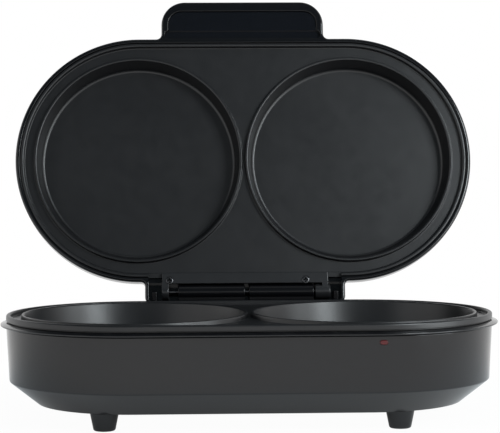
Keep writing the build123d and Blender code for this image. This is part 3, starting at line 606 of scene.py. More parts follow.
def joined(parts: Iterable[Mesh]) -> Mesh:
    """Put several meshes into one."""
    whole = bmesh.new()
    for part in parts:
        carrier = bpy.data.meshes.new("carrier")
        part.to_mesh(carrier)
        part.free()
        whole.from_mesh(carrier)
        bpy.data.meshes.remove(carrier)
    return whole


def worked(body: Mesh, tools: Sequence[Mesh], cut: Cut) -> Mesh:
    """Add tools to a body or cut them out of it.

    Args:
        body: a closed mesh.
        tools: closed meshes.
        cut: whether the tools are added or removed.

    Returns:
        The worked body.
    """
    scene = bpy.context.scene
    collection = bpy.data.collections.new("tools")
    scene.collection.children.link(collection)
    stand = as_object("worked_body", body)
    scene.collection.objects.link(stand)
    made = [as_object(f"tool_{index}", tool) for index, tool in enumerate(tools)]
    for tool in made:
        collection.objects.link(tool)
    modifier = stand.modifiers.new("work", "BOOLEAN")
    modifier.solver = "MANIFOLD"
    modifier.operation = cut.value
    modifier.operand_type = "COLLECTION"
    modifier.collection = collection
    bpy.context.view_layer.update()
    evaluated = stand.evaluated_get(bpy.context.evaluated_depsgraph_get())
    result = bmesh.new()
    result.from_mesh(evaluated.to_mesh())
    evaluated.to_mesh_clear()
    for item in [stand, *made]:
        mesh = item.data
        bpy.data.objects.remove(item)
        bpy.data.meshes.remove(mesh)
    bpy.data.collections.remove(collection)
    bmesh.ops.remove_doubles(result, verts=result.verts, dist=MERGE_DISTANCE)
    return result


# Where the pieces go


@dataclass(frozen=True)
class Layout:
    """Sizes that the base and the lid share.

    All of the product is drawn with the lid shut, and with Y measured from the middle of the base.
    """

    hinge: Vector
    open_angle: float
    half_straight: float = 75 * MM
    pan_offset: float = 76 * MM
    plate_radius: float = 86 * MM
    ridge_width: float = 2.9 * MM
    ridge_height: float = 4.6 * MM
    foot_height: float = 11.8 * MM
    lip_top: float = 65.6 * MM
    rim_top: float = 70.4 * MM
    parting: float = 70.7 * MM
    hinge_y: float = 96.07 * MM
    barrel_radius: float = 5.15 * MM
    pin_radius: float = 1.5 * MM
    pocket_gap: float = 0.3 * MM
    web_radius: float = 83.3 * MM
    lid_radius: float = 89.2 * MM
    bar_half_width: float = 59.25 * MM
    bar_front: float = 82.7 * MM
    bar_back: float = 90.6 * MM
    ear_half_width: float = 68.9 * MM
    post_reach: float = 56 * MM * math.sin(math.radians(45))
    foot_circle: float = 55.7 * MM
    front_foot_reach: float = 19.6 * MM
    rear_foot_reach: float = 4 * MM

    @property
    def hinge_z(self) -> float:
        """Level of the hinge line."""
        return self.hinge.z

    @property
    def shift(self) -> Vector:
        """From the middle of the base to the frame's origin."""
        return Vector((0, self.hinge.y - self.hinge_y, 0))

    def placed(self, bm: Mesh, body: Body) -> Mesh:
        """Move a drawn mesh to its place in the frame, and swing one of the lid open about the hinge."""
        bmesh.ops.translate(bm, verts=bm.verts, vec=self.shift)
        if body is Body.LID:
            bmesh.ops.rotate(bm, verts=bm.verts, cent=self.hinge,
                             matrix=Matrix.Rotation(-self.open_angle, 3, "X"))
        return bm

    def post_places(self) -> list[Span]:
        """Middles of the screw posts of a cooking plate."""
        x, y = self.pan_offset + self.post_reach, self.post_reach
        return [(side * x, row * y) for side in (1, -1) for row in (1, -1)]

    def foot_places(self) -> list[Span]:
        """Middles of the feet, on a half circle at each end, the rear ones further back."""
        places = []
        for row, reach in ((-1, self.front_foot_reach), (1, self.rear_foot_reach)):
            y = row * math.sqrt(self.foot_circle**2 - reach**2)
            places += [(side * (self.half_straight + reach), y) for side in (1, -1)]
        return places

    def along_hinge(self, radius: float, span: Span, rounding: float = 0.0) -> Mesh:
        """A round bar on the hinge line."""
        return bar(radius, (0, self.hinge_y, self.hinge_z), Axis.X, span, rounding=rounding)

    def hinge_bores(self, radius: float, spans: Iterable[Span]) -> list[Mesh]:
        """Bores on the hinge line, through what fills the spans."""
        return [self.along_hinge(radius, (start - PAST, end + PAST)) for start, end in spans]


@dataclass(frozen=True)
class Edging:
    """How the sharp edges of a piece are broken."""

    width: float
    segments: int
    angle: float = math.radians(40)

    def apply(self, piece: bpy.types.Object) -> None:
        """Break the edges of a piece."""
        bevel = piece.modifiers.new("broken_edges", "BEVEL")
        bevel.width = self.width
        bevel.segments = self.segments
        bevel.limit_method = "ANGLE"
        bevel.angle_limit = self.angle


def settle(bm: Mesh, layout: Layout, name: str, body: Body, finish: Finish, node: str,
           edging: Edging | None = None) -> bpy.types.Object:
    """Turn a drawn mesh into a finished piece of the product.

    Args:
        bm: the mesh.
        layout: how it gets from where it is drawn to its place.
        name: the piece's name.
        body: the body that it moves with.
        finish: its finish.
        node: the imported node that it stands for.
        edging: how its sharp edges are broken, if they are.

    Returns:
        The piece.
    """
    piece = as_object(name, layout.placed(bm, body))
    piece.data.materials.append(finish.material())
    bpy.context.scene.collection.objects.link(piece)
    if edging:
        edging.apply(piece)
    piece.data.shade_smooth()
    piece.data.set_sharp_from_angle(angle=SMOOTH_ANGLE)
    weigh_normals(piece)
    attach(piece, body.value)
    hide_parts(node)
    LOG.info("%s rides on %s and stands for %s", name, body.value, node)
    return piece


def weigh_normals(piece: bpy.types.Object) -> None:
    """Let the large faces lead the shading between sharp edges."""
    normals = piece.modifiers.new("face_weighted", "WEIGHTED_NORMAL")
    normals.keep_sharp = True


# The cooking plates


@dataclass(frozen=True)
class CookingPlate:
    """One of the two castings, drawn with its rims at level 0 and its pans below."""

    layout: Layout
    floor_thickness: float
    post_length: float
    web_drop: float = 3.2 * MM
    web_thickness: float = 2.2 * MM
    web_margin: float = 1.1 * MM
    undercut_height: float = 0.7 * MM
    undercut_depth: float = 1.4 * MM
    pan_rim_radius: float = 75.3 * MM
    pan_rim_draft: float = 0.5 * MM
    pan_rim_foot: float = 0.6 * MM
    pan_bead: float = 2.6 * MM
    pan_bead_slope: float = 0.3 * MM
    pan_depth: float = 16 * MM
    pan_floor_radius: float = 69.8 * MM
    pan_floor_rounding: float = 2.5 * MM
    post_radius: float = 3.6 * MM
    cradle_circle: float = 44 * MM
    cradle_width: float = 9 * MM
    cradle_depth: float = 3.6 * MM
    notch_gap: float = 0.3 * MM

    @property
    def web_under(self) -> float:
        """Level of the underside of the web."""
        return -self.web_drop - self.web_thickness

    @property
    def floor_under(self) -> float:
        """Level of the underside of the pan floors."""
        return -self.pan_depth - self.floor_thickness

    def ridge(self) -> Mesh:
        """The raised outer ridge with the edge of the web inside it, above and below."""
        outer = self.layout.plate_radius
        inner = outer - self.layout.ridge_width
        skirt = self.layout.web_radius
        foot = -self.layout.ridge_height
        undercut = outer - self.undercut_depth
        line = corners(
            (inner - self.web_margin, -self.web_drop),
            (inner, -self.web_drop, 0.8 * MM),
            (inner, 0, 1.2 * MM),
            (outer, 0, 1.2 * MM),
            (outer, foot + self.undercut_height, 0.3 * MM),
            (undercut, foot + self.undercut_height, 0.15 * MM),
            (undercut, foot, 0.15 * MM),
            (skirt, foot),
            (skirt, self.web_under, 0.6 * MM),
            (inner - self.web_margin, self.web_under),
        )
        return swept(line, self.layout.half_straight, steps=64)

    def pan(self, side: int) -> Mesh:
        """One pan: beaded rim, slanted wall and floor, inside and out."""
        rim = self.pan_rim_radius
        inside = corners(
            (rim + self.pan_rim_foot, -self.web_drop),
            (rim, -self.web_drop, 0.5 * MM),
            (rim - self.pan_rim_draft, 0, 0.5 * MM),
            (rim - self.pan_bead + self.pan_bead_slope, 0, 1.0 * MM),
            (self.pan_floor_radius, -self.pan_depth, self.pan_floor_rounding),
            (0, -self.pan_depth),
        )
        outside = corners(
            (rim + self.pan_rim_foot, self.web_under),
            (rim, self.web_under, 0.4 * MM),
            (self.pan_floor_radius + self.floor_thickness, self.floor_under, self.pan_floor_rounding),
            (0, self.floor_under),
        )
        return joined(turned(line, side * self.layout.pan_offset, steps=128) for line in (inside, outside))

    def posts(self) -> list[Mesh]:
        """Cradle rings of the elements and the screw posts, under the pan floors."""
        root = self.floor_under + SINK
        inner, outer = either_side(self.cradle_width / 2, self.cradle_circle)
        ring = corners(
            (inner, root),
            (inner, self.floor_under - self.cradle_depth, 0.8 * MM),
            (outer, self.floor_under - self.cradle_depth, 0.8 * MM),
            (outer, root),
        )
        made = [turned(ring, side * self.layout.pan_offset, steps=72, closed=True) for side in (1, -1)]
        span = (self.floor_under - self.post_length, root)
        made += [bar(self.post_radius, (x, y, 0), Axis.Z, span, steps=28, rounding=0.3 * MM)
                 for x, y in self.layout.post_places()]
        return made

    def casting(self, notched: bool) -> Mesh:
        """The whole casting.

        Args:
            notched: whether the rear of the ridge is cut away for the hinge bar.

        Returns:
            A closed mesh with its posts.
        """
        bm = joined([self.ridge(), self.pan(1), self.pan(-1)])
        for level in (-self.web_drop, self.web_under):
            loops = [edge for edge in edges_at(bm, level) if edge.is_boundary]
            bmesh.ops.triangle_fill(bm, use_beauty=True, use_dissolve=False, edges=loops)
        closed_shell(bm)
        if notched:
            bm = worked(bm, self.notches(), Cut.REMOVE)
        return joined([bm, *self.posts()])

    def notches(self) -> list[Mesh]:
        """What is cut from the rear of the ridge: the ears' room above, and the bar's below."""
        back = self.layout.plate_radius + PAST
        foot = -self.layout.ridge_height
        return [
            block(either_side(self.layout.ear_half_width), (self.layout.bar_front, back),
                  (-self.web_drop, PAST)),
            block(either_side(self.layout.bar_half_width + self.notch_gap), (self.layout.web_radius, back),
                  (foot - PAST, PAST)),
        ]

    def build_lower(self) -> bpy.types.Object:
        """The plate of the base."""
        bm = self.casting(notched=False)
        bmesh.ops.translate(bm, verts=bm.verts, vec=(0, 0, self.layout.rim_top))
        return settle(bm, self.layout, "lower_pans", Body.BASE, NON_STICK, "lower_plate")

    def build_upper(self) -> bpy.types.Object:
        """The plate of the lid, the same casting turned over."""
        bm = self.casting(notched=True)
        bmesh.ops.scale(bm, vec=(1, 1, -1), verts=bm.verts)
        bmesh.ops.reverse_faces(bm, faces=bm.faces)
        bmesh.ops.translate(bm, verts=bm.verts, vec=(0, 0, self.layout.parting))
        return settle(bm, self.layout, "upper_pans", Body.LID, NON_STICK, "upper_plate")


# The base


@dataclass(frozen=True)
class BaseShell:
    """The moulded tub of the base: floor, slanted skirt, wall, lip, and what is cut through them."""

    layout: Layout
    wall: float = 3 * MM
    floor_end: float = 65.5 * MM
    floor_level: float = 15 * MM
    crease_radius: float = 84.2 * MM
    crease_level: float = 26.8 * MM
    wall_top: float = 86 * MM
    lip_radius: float = 89.8 * MM
    lip_thickness: float = 2.2 * MM
    lip_slope: float = 1.2 * MM
    lip_shelf: float = 0.6 * MM
    rebate_height: float = 0.4 * MM
    rebate_depth: float = 1.2 * MM
    lens_x: float = 81 * MM
    lens_level: float = 58.6 * MM
    lens_opening: tuple[float, float] = (5.4 * MM, 3.2 * MM)
    lens_cut: Span = (-2 * MM, 6 * MM)
    gland_x: float = -46 * MM
    gland_level: float = 36.8 * MM
    gland_bore: float = 6.1 * MM
    gland_cut: Span = (-8 * MM, 4 * MM)
    gland_pad_radius: float = 9.5 * MM
    gland_pad_rise: float = 1.2 * MM
    gland_pad_inner_rise: float = 0.6 * MM
    plate_boss_radius: float = 5.2 * MM
    plate_boss_top: float = 37.8 * MM
    plate_boss_seat: float = 27.8 * MM
    plate_head_bore: float = 3.7 * MM
    plate_screw_bore: float = 1.8 * MM
    foot_boss_radius: float = 6 * MM
    foot_boss_height: float = 8 * MM
    foot_screw_bore: float = 1.95 * MM
    foot_bore_height: float = 6.5 * MM
    vent_rows: range = range(-2, 3)
    vent_pitch: float = 8 * MM
    vent_half_length: float = 13 * MM
    vent_half_width: float = 1.5 * MM

    @property
    def lip_under(self) -> float:
        """Level of the underside of the lip."""
        return self.layout.lip_top - self.lip_thickness

    @property
    def gland_span(self) -> Span:
        """Inner and outer face of the pad round the cord gland, from front to back."""
        outer = self.wall_radius(self.gland_level)
        return (outer - self.wall - self.gland_pad_inner_rise, outer + self.gland_pad_rise)

    def wall_radius(self, level: float) -> float:
        """Outer radius of the drafted wall at a level."""
        share = (level - self.crease_level) / (self.lip_under - self.crease_level)
        return self.crease_radius + share * (self.wall_top - self.crease_radius)

    def tub(self) -> Mesh:
        """The plain tub with its lip."""
        foot = self.layout.foot_height
        lip_top = self.layout.lip_top
        rebate = self.lip_under - self.rebate_height
        head = self.wall_radius(rebate)
        bottom = Corner(self.floor_end, foot, 1.2 * MM)
        crease = Corner(self.crease_radius, self.crease_level, 1.5 * MM)
        inner_floor = inset_corner(Corner(0, foot), bottom, crease, self.wall, 0)
        inner_crease = inset_corner(bottom, crease, Corner(self.wall_top, self.lip_under), self.wall,
                                    2 * MM)
        slope = (inner_crease.u - inner_floor.u) / (inner_crease.v - inner_floor.v)
        inner_end = inner_floor.u + slope * (self.floor_level - inner_floor.v)
        line = [
            Corner(0, foot),
            bottom,
            crease,
            *corners(
                (head, rebate, 0.8 * MM),
                (head - self.rebate_depth, rebate, 0.12 * MM, 2),
                (head - self.rebate_depth, self.lip_under, 0.12 * MM, 2),
                (self.lip_radius, self.lip_under, 0.4 * MM),
                (self.lip_radius, lip_top - self.lip_slope, 0.4 * MM),
                (self.layout.plate_radius + self.lip_shelf, lip_top, 0.3 * MM),
                (self.layout.web_radius + self.layout.pocket_gap, lip_top, 0.2 * MM),
            ),
            inner_crease,
            Corner(inner_end, self.floor_level, 2 * MM),
            Corner(0, self.floor_level),
        ]
        return swept(line, self.layout.half_straight)

    def bosses(self) -> list[Mesh]:
        """Bosses for the plate's screws and the feet, and the pad round the cord gland."""
        root = self.layout.foot_height + SINK
        plate_span = (root, self.plate_boss_top)
        made = [bar(self.plate_boss_radius, (x, y, 0), Axis.Z, plate_span, rounding=0.3 * MM)
                for x, y in self.layout.post_places()]
        foot_span = (root, self.floor_level + self.foot_boss_height)
        made += [bar(self.foot_boss_radius, (x, y, 0), Axis.Z, foot_span)
                 for x, y in self.layout.foot_places()]
        made.append(bar(self.gland_pad_radius, (self.gland_x, 0, self.gland_level), Axis.Y, self.gland_span,
                        rounding=0.3 * MM))
        return made

    def cuts(self) -> list[Mesh]:
        """Screw recesses, vents, the indicator's opening and the gland's bore."""
        below = self.layout.foot_height - PAST
        made = []
        for x, y in self.layout.post_places():
            made.append(bar(self.plate_head_bore, (x, y, 0), Axis.Z, (below, self.plate_boss_seat),
                            steps=32))
            made.append(bar(self.plate_screw_bore, (x, y, 0), Axis.Z,
                            (self.plate_boss_seat - PAST, self.plate_boss_top + PAST), steps=24))
        for x, y in self.layout.foot_places():
            made.append(bar(self.foot_screw_bore, (x, y, 0), Axis.Z,
                            (below, self.floor_level + self.foot_bore_height), steps=24))
        for side in (1, -1):
            for row in self.vent_rows:
                plan = oblong(either_side(self.vent_half_length, side * self.layout.pan_offset / 2),
                              either_side(self.vent_half_width, row * self.vent_pitch),
                              self.vent_half_width)
                made.append(raised(plan, below, self.floor_level + PAST, segments=5))
        front = -self.wall_radius(self.lens_level)
        made.append(slot_bar(*self.lens_opening, self.lens_x, self.lens_level,
                             (front + self.lens_cut[0], front + self.lens_cut[1])))
        outer = self.wall_radius(self.gland_level)
        made.append(bar(self.gland_bore, (self.gland_x, 0, self.gland_level), Axis.Y,
                        (outer + self.gland_cut[0], outer + self.gland_cut[1])))
        return made

    def build(self) -> bpy.types.Object:
        """The finished tub."""
        bm = worked(self.tub(), self.bosses(), Cut.ADD)
        bm = worked(bm, self.cuts(), Cut.REMOVE)
        return settle(bm, self.layout, "base_shell", Body.BASE, GLOSS_BLACK,
                      "base_housing")


@dataclass(frozen=True)
class HingeShelf:
    """The shelf behind the lip with the barrels on their pedestals, guide ribs and gussets."""

    layout: Layout
    half_width: float = 68.1 * MM
    drop: float = 1.4 * MM
    thickness: float = 3 * MM
    back: float = 101.07 * MM
    stop_face: float = 97.97 * MM
    pedestal_depth: float = 5.6 * MM
    pedestal_inset: float = 0.3 * MM
    barrels: tuple[Span, ...] = ((-48.1 * MM, -0.2 * MM), (2.6 * MM, 49.1 * MM))
    rib_centre: float = 64.7 * MM
    rib_thickness: float = 3.4 * MM
    rib_rise: float = 1 * MM
    gusset_root: float = 85.5 * MM
    gusset_inset: float = 0.4 * MM
    gusset_height: float = 14 * MM
    gusset_thickness: float = 2.6 * MM
    gusset_places: tuple[float, ...] = (65.5 * MM, 22 * MM)

    @property
    def top(self) -> float:
        """Level of the top of the shelf."""
        return self.layout.lip_top - self.drop

    def rib(self, x: float) -> Mesh:
        """A guide rib with a rounded top and softened ends."""
        front = self.layout.hinge_y - self.layout.barrel_radius
        plan = oblong(either_side(self.rib_thickness / 2, x), (front, self.stop_face), 0.7 * MM)
        return raised(plan, self.top - SINK, self.layout.hinge_z + self.rib_rise, segments=3,
                      top_rounding=1.1 * MM, edge_segments=5)

    def gusset(self, x: float) -> Mesh:
        """A triangular web under the shelf."""
        under = self.top - self.thickness
        low = under - self.gusset_height
        back = self.back - self.gusset_inset
        sunk = self.gusset_root - PAST
        line = corners((sunk, low), (self.gusset_root, low), (back, under), (back, under + PAST),
                       (sunk, under + PAST))
        side = x - self.gusset_thickness / 2
        bm = rounded_line(line, lambda u, v: Vector((side, u, v)), True)
        return carried(bm, (self.gusset_thickness, 0, 0))

    def build(self) -> bpy.types.Object:
        """The shelf with all that stands on it and hangs under it."""
        inner = self.layout.web_radius + self.layout.pocket_gap
        shelf = block(either_side(self.half_width), (inner, self.back),
                      (self.top - self.thickness, self.top), 0.35 * MM)
        parts = []
        for span in self.barrels:
            parts.append(self.layout.along_hinge(self.layout.barrel_radius, span, rounding=0.9 * MM))
            parts.append(block((span[0] + self.pedestal_inset, span[1] - self.pedestal_inset),
                               (self.stop_face - self.pedestal_depth, self.stop_face),
                               (self.top - SINK, self.layout.hinge_z), 0.3 * MM))
        for side in (1, -1):
            parts.append(self.rib(side * self.rib_centre))
            parts += [self.gusset(side * place) for place in self.gusset_places]
        bm = worked(shelf, parts, Cut.ADD)
        bm = worked(bm, self.layout.hinge_bores(self.layout.pin_radius, self.barrels), Cut.REMOVE)
        return settle(bm, self.layout, "hinge_shelf", Body.BASE, BARREL_BLACK,
                      "base_housing")


@dataclass(frozen=True)
class FootSet:
    """Four tapered feet, open inside below their screws."""

    layout: Layout
    top_radius: float = 9.3 * MM
    toe_radius: float = 6.95 * MM
    toe_rounding: float = 1.5 * MM
    recess_radius: float = 3.9 * MM
    recess: float = 5 * MM
    bore: float = 2.2 * MM

    def build(self) -> bpy.types.Object:
        """All four feet."""
        top = self.layout.foot_height
        line = corners(
            (self.bore, top, 0.2 * MM),
            (self.top_radius, top, 0.25 * MM),
            (self.toe_radius, 0, self.toe_rounding),
            (self.recess_radius, 0, 0.4 * MM),
            (self.recess_radius, self.recess, 0.3 * MM),
            (self.bore, self.recess, 0.2 * MM),
        )
        bm = joined(turned(line, x, y, steps=56, closed=True) for x, y in self.layout.foot_places())
        return settle(bm, self.layout, "foot_set", Body.BASE, FOOT_RUBBER, "feet")


@dataclass(frozen=True)
class IndicatorWindow:
    """The small red window of the lamp, with its flange and sleeve inside the wall."""

    layout: Layout
    shell: BaseShell
    width: float = 5.1 * MM
    height: float = 2.9 * MM
    sunk: float = 0.2 * MM
    rounding: float = 0.4 * MM
    inner: float = -81.83 * MM
    flange: float = 1.6 * MM
    flange_width: float = 9 * MM
    flange_height: float = 6.8 * MM
    sleeve_radius: float = 3.1 * MM
    sleeve_length: float = 4.5 * MM
    sleeve_bore: float = 2.3 * MM

    def build(self) -> bpy.types.Object:
        """The window."""
        x, level = self.shell.lens_x, self.shell.lens_level
        front = -self.shell.wall_radius(level) + self.sunk
        window = slot_bar(self.width, self.height, x, level, (front, self.inner + SINK))
        rim = [edge for edge in window.edges
               if all(vert.co.y < front + MERGE_DISTANCE for vert in edge.verts)]
        bevelled(window, rim, self.rounding, 3)
        root = self.inner + self.flange
        end = root + self.sleeve_length
        flange = slot_bar(self.flange_width, self.flange_height, x, level, (self.inner, root))
        sleeve = bar(self.sleeve_radius, (x, 0, level), Axis.Y, (root - SINK, end))
        bore = bar(self.sleeve_bore, (x, 0, level), Axis.Y, (root, end + 1.5 * PAST))
        bm = worked(worked(window, [flange, sleeve], Cut.ADD), [bore], Cut.REMOVE)
        return settle(bm, self.layout, "indicator_window", Body.BASE, RED_LENS,
                      "indicator_lens")


@dataclass(frozen=True)
class GlandBush:
    """The flanged rubber bush in the back wall."""

    layout: Layout
    shell: BaseShell
    bore: float = 3.6 * MM
    body: float = 6 * MM
    catch: float = 1.2 * MM
    catch_length: float = 3 * MM
    flange: float = 8.5 * MM
    flange_thickness: float = 2.2 * MM

    def build(self) -> bpy.types.Object:
        """The bush."""
        inner, pad = self.shell.gland_span
        inner_end = inner - self.catch_length
        outer_end = pad + self.flange_thickness
        line = corners(
            (self.bore, inner_end, 0.3 * MM),
            (self.body + self.catch, inner_end, 0.6 * MM),
            (self.body + self.catch, inner, 0.2 * MM),
            (self.body, inner, 0.1 * MM),
            (self.body, pad),
            (self.flange, pad, 0.2 * MM),
            (self.flange, outer_end, 0.9 * MM),
            (self.bore, outer_end, 0.9 * MM),
        )
        bm = laid_back(turned(line, steps=64, closed=True), (self.shell.gland_x, 0, self.shell.gland_level))
        return settle(bm, self.layout, "gland_bush", Body.BASE, GLAND_RUBBER, "cord_gland")


# The lid


@dataclass(frozen=True)
class LidShell:
    """The moulding of the lid, drawn shut: brim with handle tongue and hood, dome and hollows."""

    layout: Layout
    brim_height: float = 14.5 * MM
    brim_rounding: float = 1.8 * MM
    brim_top_rounding: float = 3 * MM
    roof: float = 2.3 * MM
    handle_half_width: float = 59 * MM
    handle_front: float = -116.9 * MM
    handle_corner: float = 17 * MM
    handle_root: float = 3.8 * MM
    hood_half_width: float = 71.4 * MM
    hood_back: float = 104.6 * MM
    hood_wall: float = 2.5 * MM
    hood_corner: float = 4.5 * MM
    hood_root: float = 3 * MM
    window_half_width: float = 67.7 * MM
    window_rise: float = 9 * MM
    ear_depth: float = 6.5 * MM
    dome_wall: float = 2.2 * MM
    dome_foot: float = 84.6 * MM
    dome_shoulder: tuple[float, float] = (82 * MM, 8 * MM)
    dome_crown: tuple[float, float] = (60 * MM, 17.2 * MM)
    dome_rise: float = 19 * MM
    shoulder_rounding: float = 9 * MM
    crown_rounding: float = 30 * MM
    seat_gap: float = 0.2 * MM
    ledge_width: float = 2.7 * MM
    ledge_height: float = 1.8 * MM
    mouth: float = 0.45 * MM
    handle_side_border: float = 4.9 * MM
    handle_border: float = 7 * MM
    panel_corner: float = 9.5 * MM
    cover_gap: float = 0.2 * MM
    cover_depth: float = 1.2 * MM
    cover_thickness: float = 2.4 * MM
    groove_side: float = 2.4 * MM
    groove_setback: float = 0.2 * MM
    groove_width: float = 5.9 * MM
    groove_depth: float = 1.6 * MM
    rail_inset: float = 0.8 * MM
    rail_rise: float = 3.2 * MM
    cover_boss_radius: float = 3.2 * MM
    cover_boss_inset: tuple[float, float] = (12 * MM, 6.5 * MM)
    cover_boss_rise: float = 3.6 * MM

    @property
    def top(self) -> float:
        """Level of the top of the brim."""
        return self.layout.parting + self.brim_height

    @property
    def roof_under(self) -> float:
        """Level of the underside of the brim's roof."""
        return self.top - self.roof

    @property
    def tray_radius(self) -> float:
        """Radius of the hollow that holds the plate."""
        return self.layout.plate_radius + self.layout.pocket_gap

    def outline(self) -> list[Corner]:
        """Plan of the brim with the handle and the hood blended into it."""
        radius = self.layout.lid_radius
        end = self.layout.half_straight + radius
        return mirrored(corners(
            (self.handle_half_width, self.handle_front, self.handle_corner, 14),
            (self.handle_half_width, -radius, self.handle_root, 6),
            (end, -radius, radius, 56),
            (end, radius, radius, 56),
            (self.hood_half_width, radius, self.hood_root, 5),
            (self.hood_half_width, self.hood_back, self.hood_corner, 6),
        ))

    def panel(self, gap: float) -> list[Corner]:
        """Plan of the hollow under the handle, drawn smaller by a gap all round."""
        side = self.handle_half_width - self.handle_side_border - gap
        front = self.handle_front + self.handle_border + gap
        groove_side = self.handle_half_width - self.groove_side - gap
        back = -self.layout.lid_radius - self.groove_setback - gap
        width = self.groove_width - 2 * gap
        round_end = width / 2 - 2 * HAIR
        return mirrored(corners(
            (side, front, self.panel_corner - gap, 10),
            (side, back - width),
            (groove_side, back - width, min(round_end, groove_side - side - 2 * HAIR), 6),
            (groove_side, back, round_end, 6),
        ))

    def dome(self, wall: float, low: float) -> Mesh:
        """The dome, or with a wall its hollow, from a level up."""
        outside = [
            Corner(self.dome_foot, self.top - SINK),
            Corner(self.dome_shoulder[0], self.top + self.dome_shoulder[1]),
            Corner(self.dome_crown[0], self.top + self.dome_crown[1]),
            Corner(0, self.top + self.dome_rise),
        ]
        line = [
            Corner(0, low),
            Corner(self.dome_foot - wall, low),
            inset_corner(*outside[:3], wall, self.shoulder_rounding - wall, 8),
            inset_corner(*outside[1:], wall, self.crown_rounding - wall, 8),
            Corner(0, self.top + self.dome_rise - wall),
        ]
        return swept(line, self.layout.half_straight)

    def tray_hollow(self) -> Mesh:
        """The hollow that holds the upper plate, with its seat ledge and a softened mouth."""
        parting = self.layout.parting
        radius = self.tray_radius
        ledge = parting + self.layout.ridge_height + self.seat_gap
        line = corners(
            (0, parting - PAST),
            (radius + PAST, parting - PAST),
            (radius + PAST, parting - HAIR),
            (radius, parting - HAIR, self.mouth, 3),
            (radius, ledge),
            (radius - self.ledge_width, ledge),
            (radius - self.ledge_width, ledge + self.ledge_height),
            (radius, ledge + self.ledge_height),
            (radius, self.roof_under, 1 * MM),
            (0, self.roof_under),
        )
        return swept(line, self.layout.half_straight)

    def hood_hollows(self) -> list[Mesh]:
        """The hollow of the hood, its back window and the ear recesses beside the hinge strip."""
        parting, radius = self.layout.parting, self.layout.lid_radius
        inner_back = self.hood_back - self.hood_wall
        low = parting - PAST
        ears = either_side(self.layout.ear_half_width)
        inner = self.layout.plate_radius - self.layout.ridge_width
        return [
            block(ears, (radius, inner_back), (low, self.roof_under)),
            block(either_side(self.window_half_width), (inner_back - PAST, self.hood_back + PAST),
                  (low, parting + self.window_rise)),
            block(ears, (inner, radius + PAST), (low, parting + self.ear_depth)),
        ]

    def fittings(self) -> list[Mesh]:
        """The rail behind the hinge strip and the bosses over the handle's cover."""
        parting = self.layout.parting
        over = self.roof_under + SINK
        made = [block(either_side(self.layout.bar_half_width - self.rail_inset),
                      (self.tray_radius, self.layout.bar_back), (parting + self.rail_rise, over), 0.2 * MM)]
        reach = self.handle_half_width - self.handle_side_border - self.cover_boss_inset[0]
        y = self.handle_front + self.handle_border + self.cover_boss_inset[1]
        span = (parting + self.cover_boss_rise, over)
        made += [bar(self.cover_boss_radius, (x, y, 0), Axis.Z, span, steps=28) for x in (-reach, 0, reach)]
        return made

    def soften(self, bm: Mesh) -> Mesh:
        """Break the edges of the handle's and the hood's hollows at the parting level."""
        outside = self.tray_radius + 1 * MM
        edges = [edge for edge in edges_at(bm, self.layout.parting)
                 if all(abs(vert.co.y) > outside for vert in edge.verts)
                 and len(edge.link_faces) == 2 and edge.calc_face_angle(0) > math.radians(60)]
        return bevelled(bm, edges, self.mouth, 3)

    def build(self) -> bpy.types.Object:
        """The finished moulding."""
        parting = self.layout.parting
        brim = raised(self.outline(), parting, self.top, top_rounding=self.brim_top_rounding,
                      bottom_rounding=self.brim_rounding, edge_segments=6)
        bm = worked(brim, [self.dome(0, self.top - SINK)], Cut.ADD)
        hollows = [self.tray_hollow(), raised(self.panel(0), parting - PAST, self.roof_under),
                   *self.hood_hollows()]
        bm = worked(bm, hollows, Cut.REMOVE)
        bm = worked(bm, [self.dome(self.dome_wall, self.roof_under - PAST)], Cut.REMOVE)
        bm = worked(self.soften(bm), self.fittings(), Cut.ADD)
        return settle(bm, self.layout, "lid_shell", Body.LID, GLOSS_BLACK, "lid_housing")

    def build_underside(self) -> bpy.types.Object:
        """The cover under the handle with its finger groove."""
        level = self.layout.parting + self.cover_depth
        bm = raised(self.panel(self.cover_gap), level, level + self.cover_thickness,
                    bottom_rounding=0.35 * MM, edge_segments=3)
        side = self.handle_half_width - self.groove_side + self.cover_gap
        back = -self.layout.lid_radius - self.groove_setback + self.cover_gap
        width = self.groove_width + 2 * self.cover_gap
        plan = oblong(either_side(side), (back - width, back), width / 2)
        bm = worked(bm, [raised(plan, level - PAST, level + self.groove_depth)], Cut.REMOVE)
        return settle(bm, self.layout, "handle_underside", Body.LID, HANDLE_BLACK,
                      "handle_liner", Edging(0.5 * MM, 3))


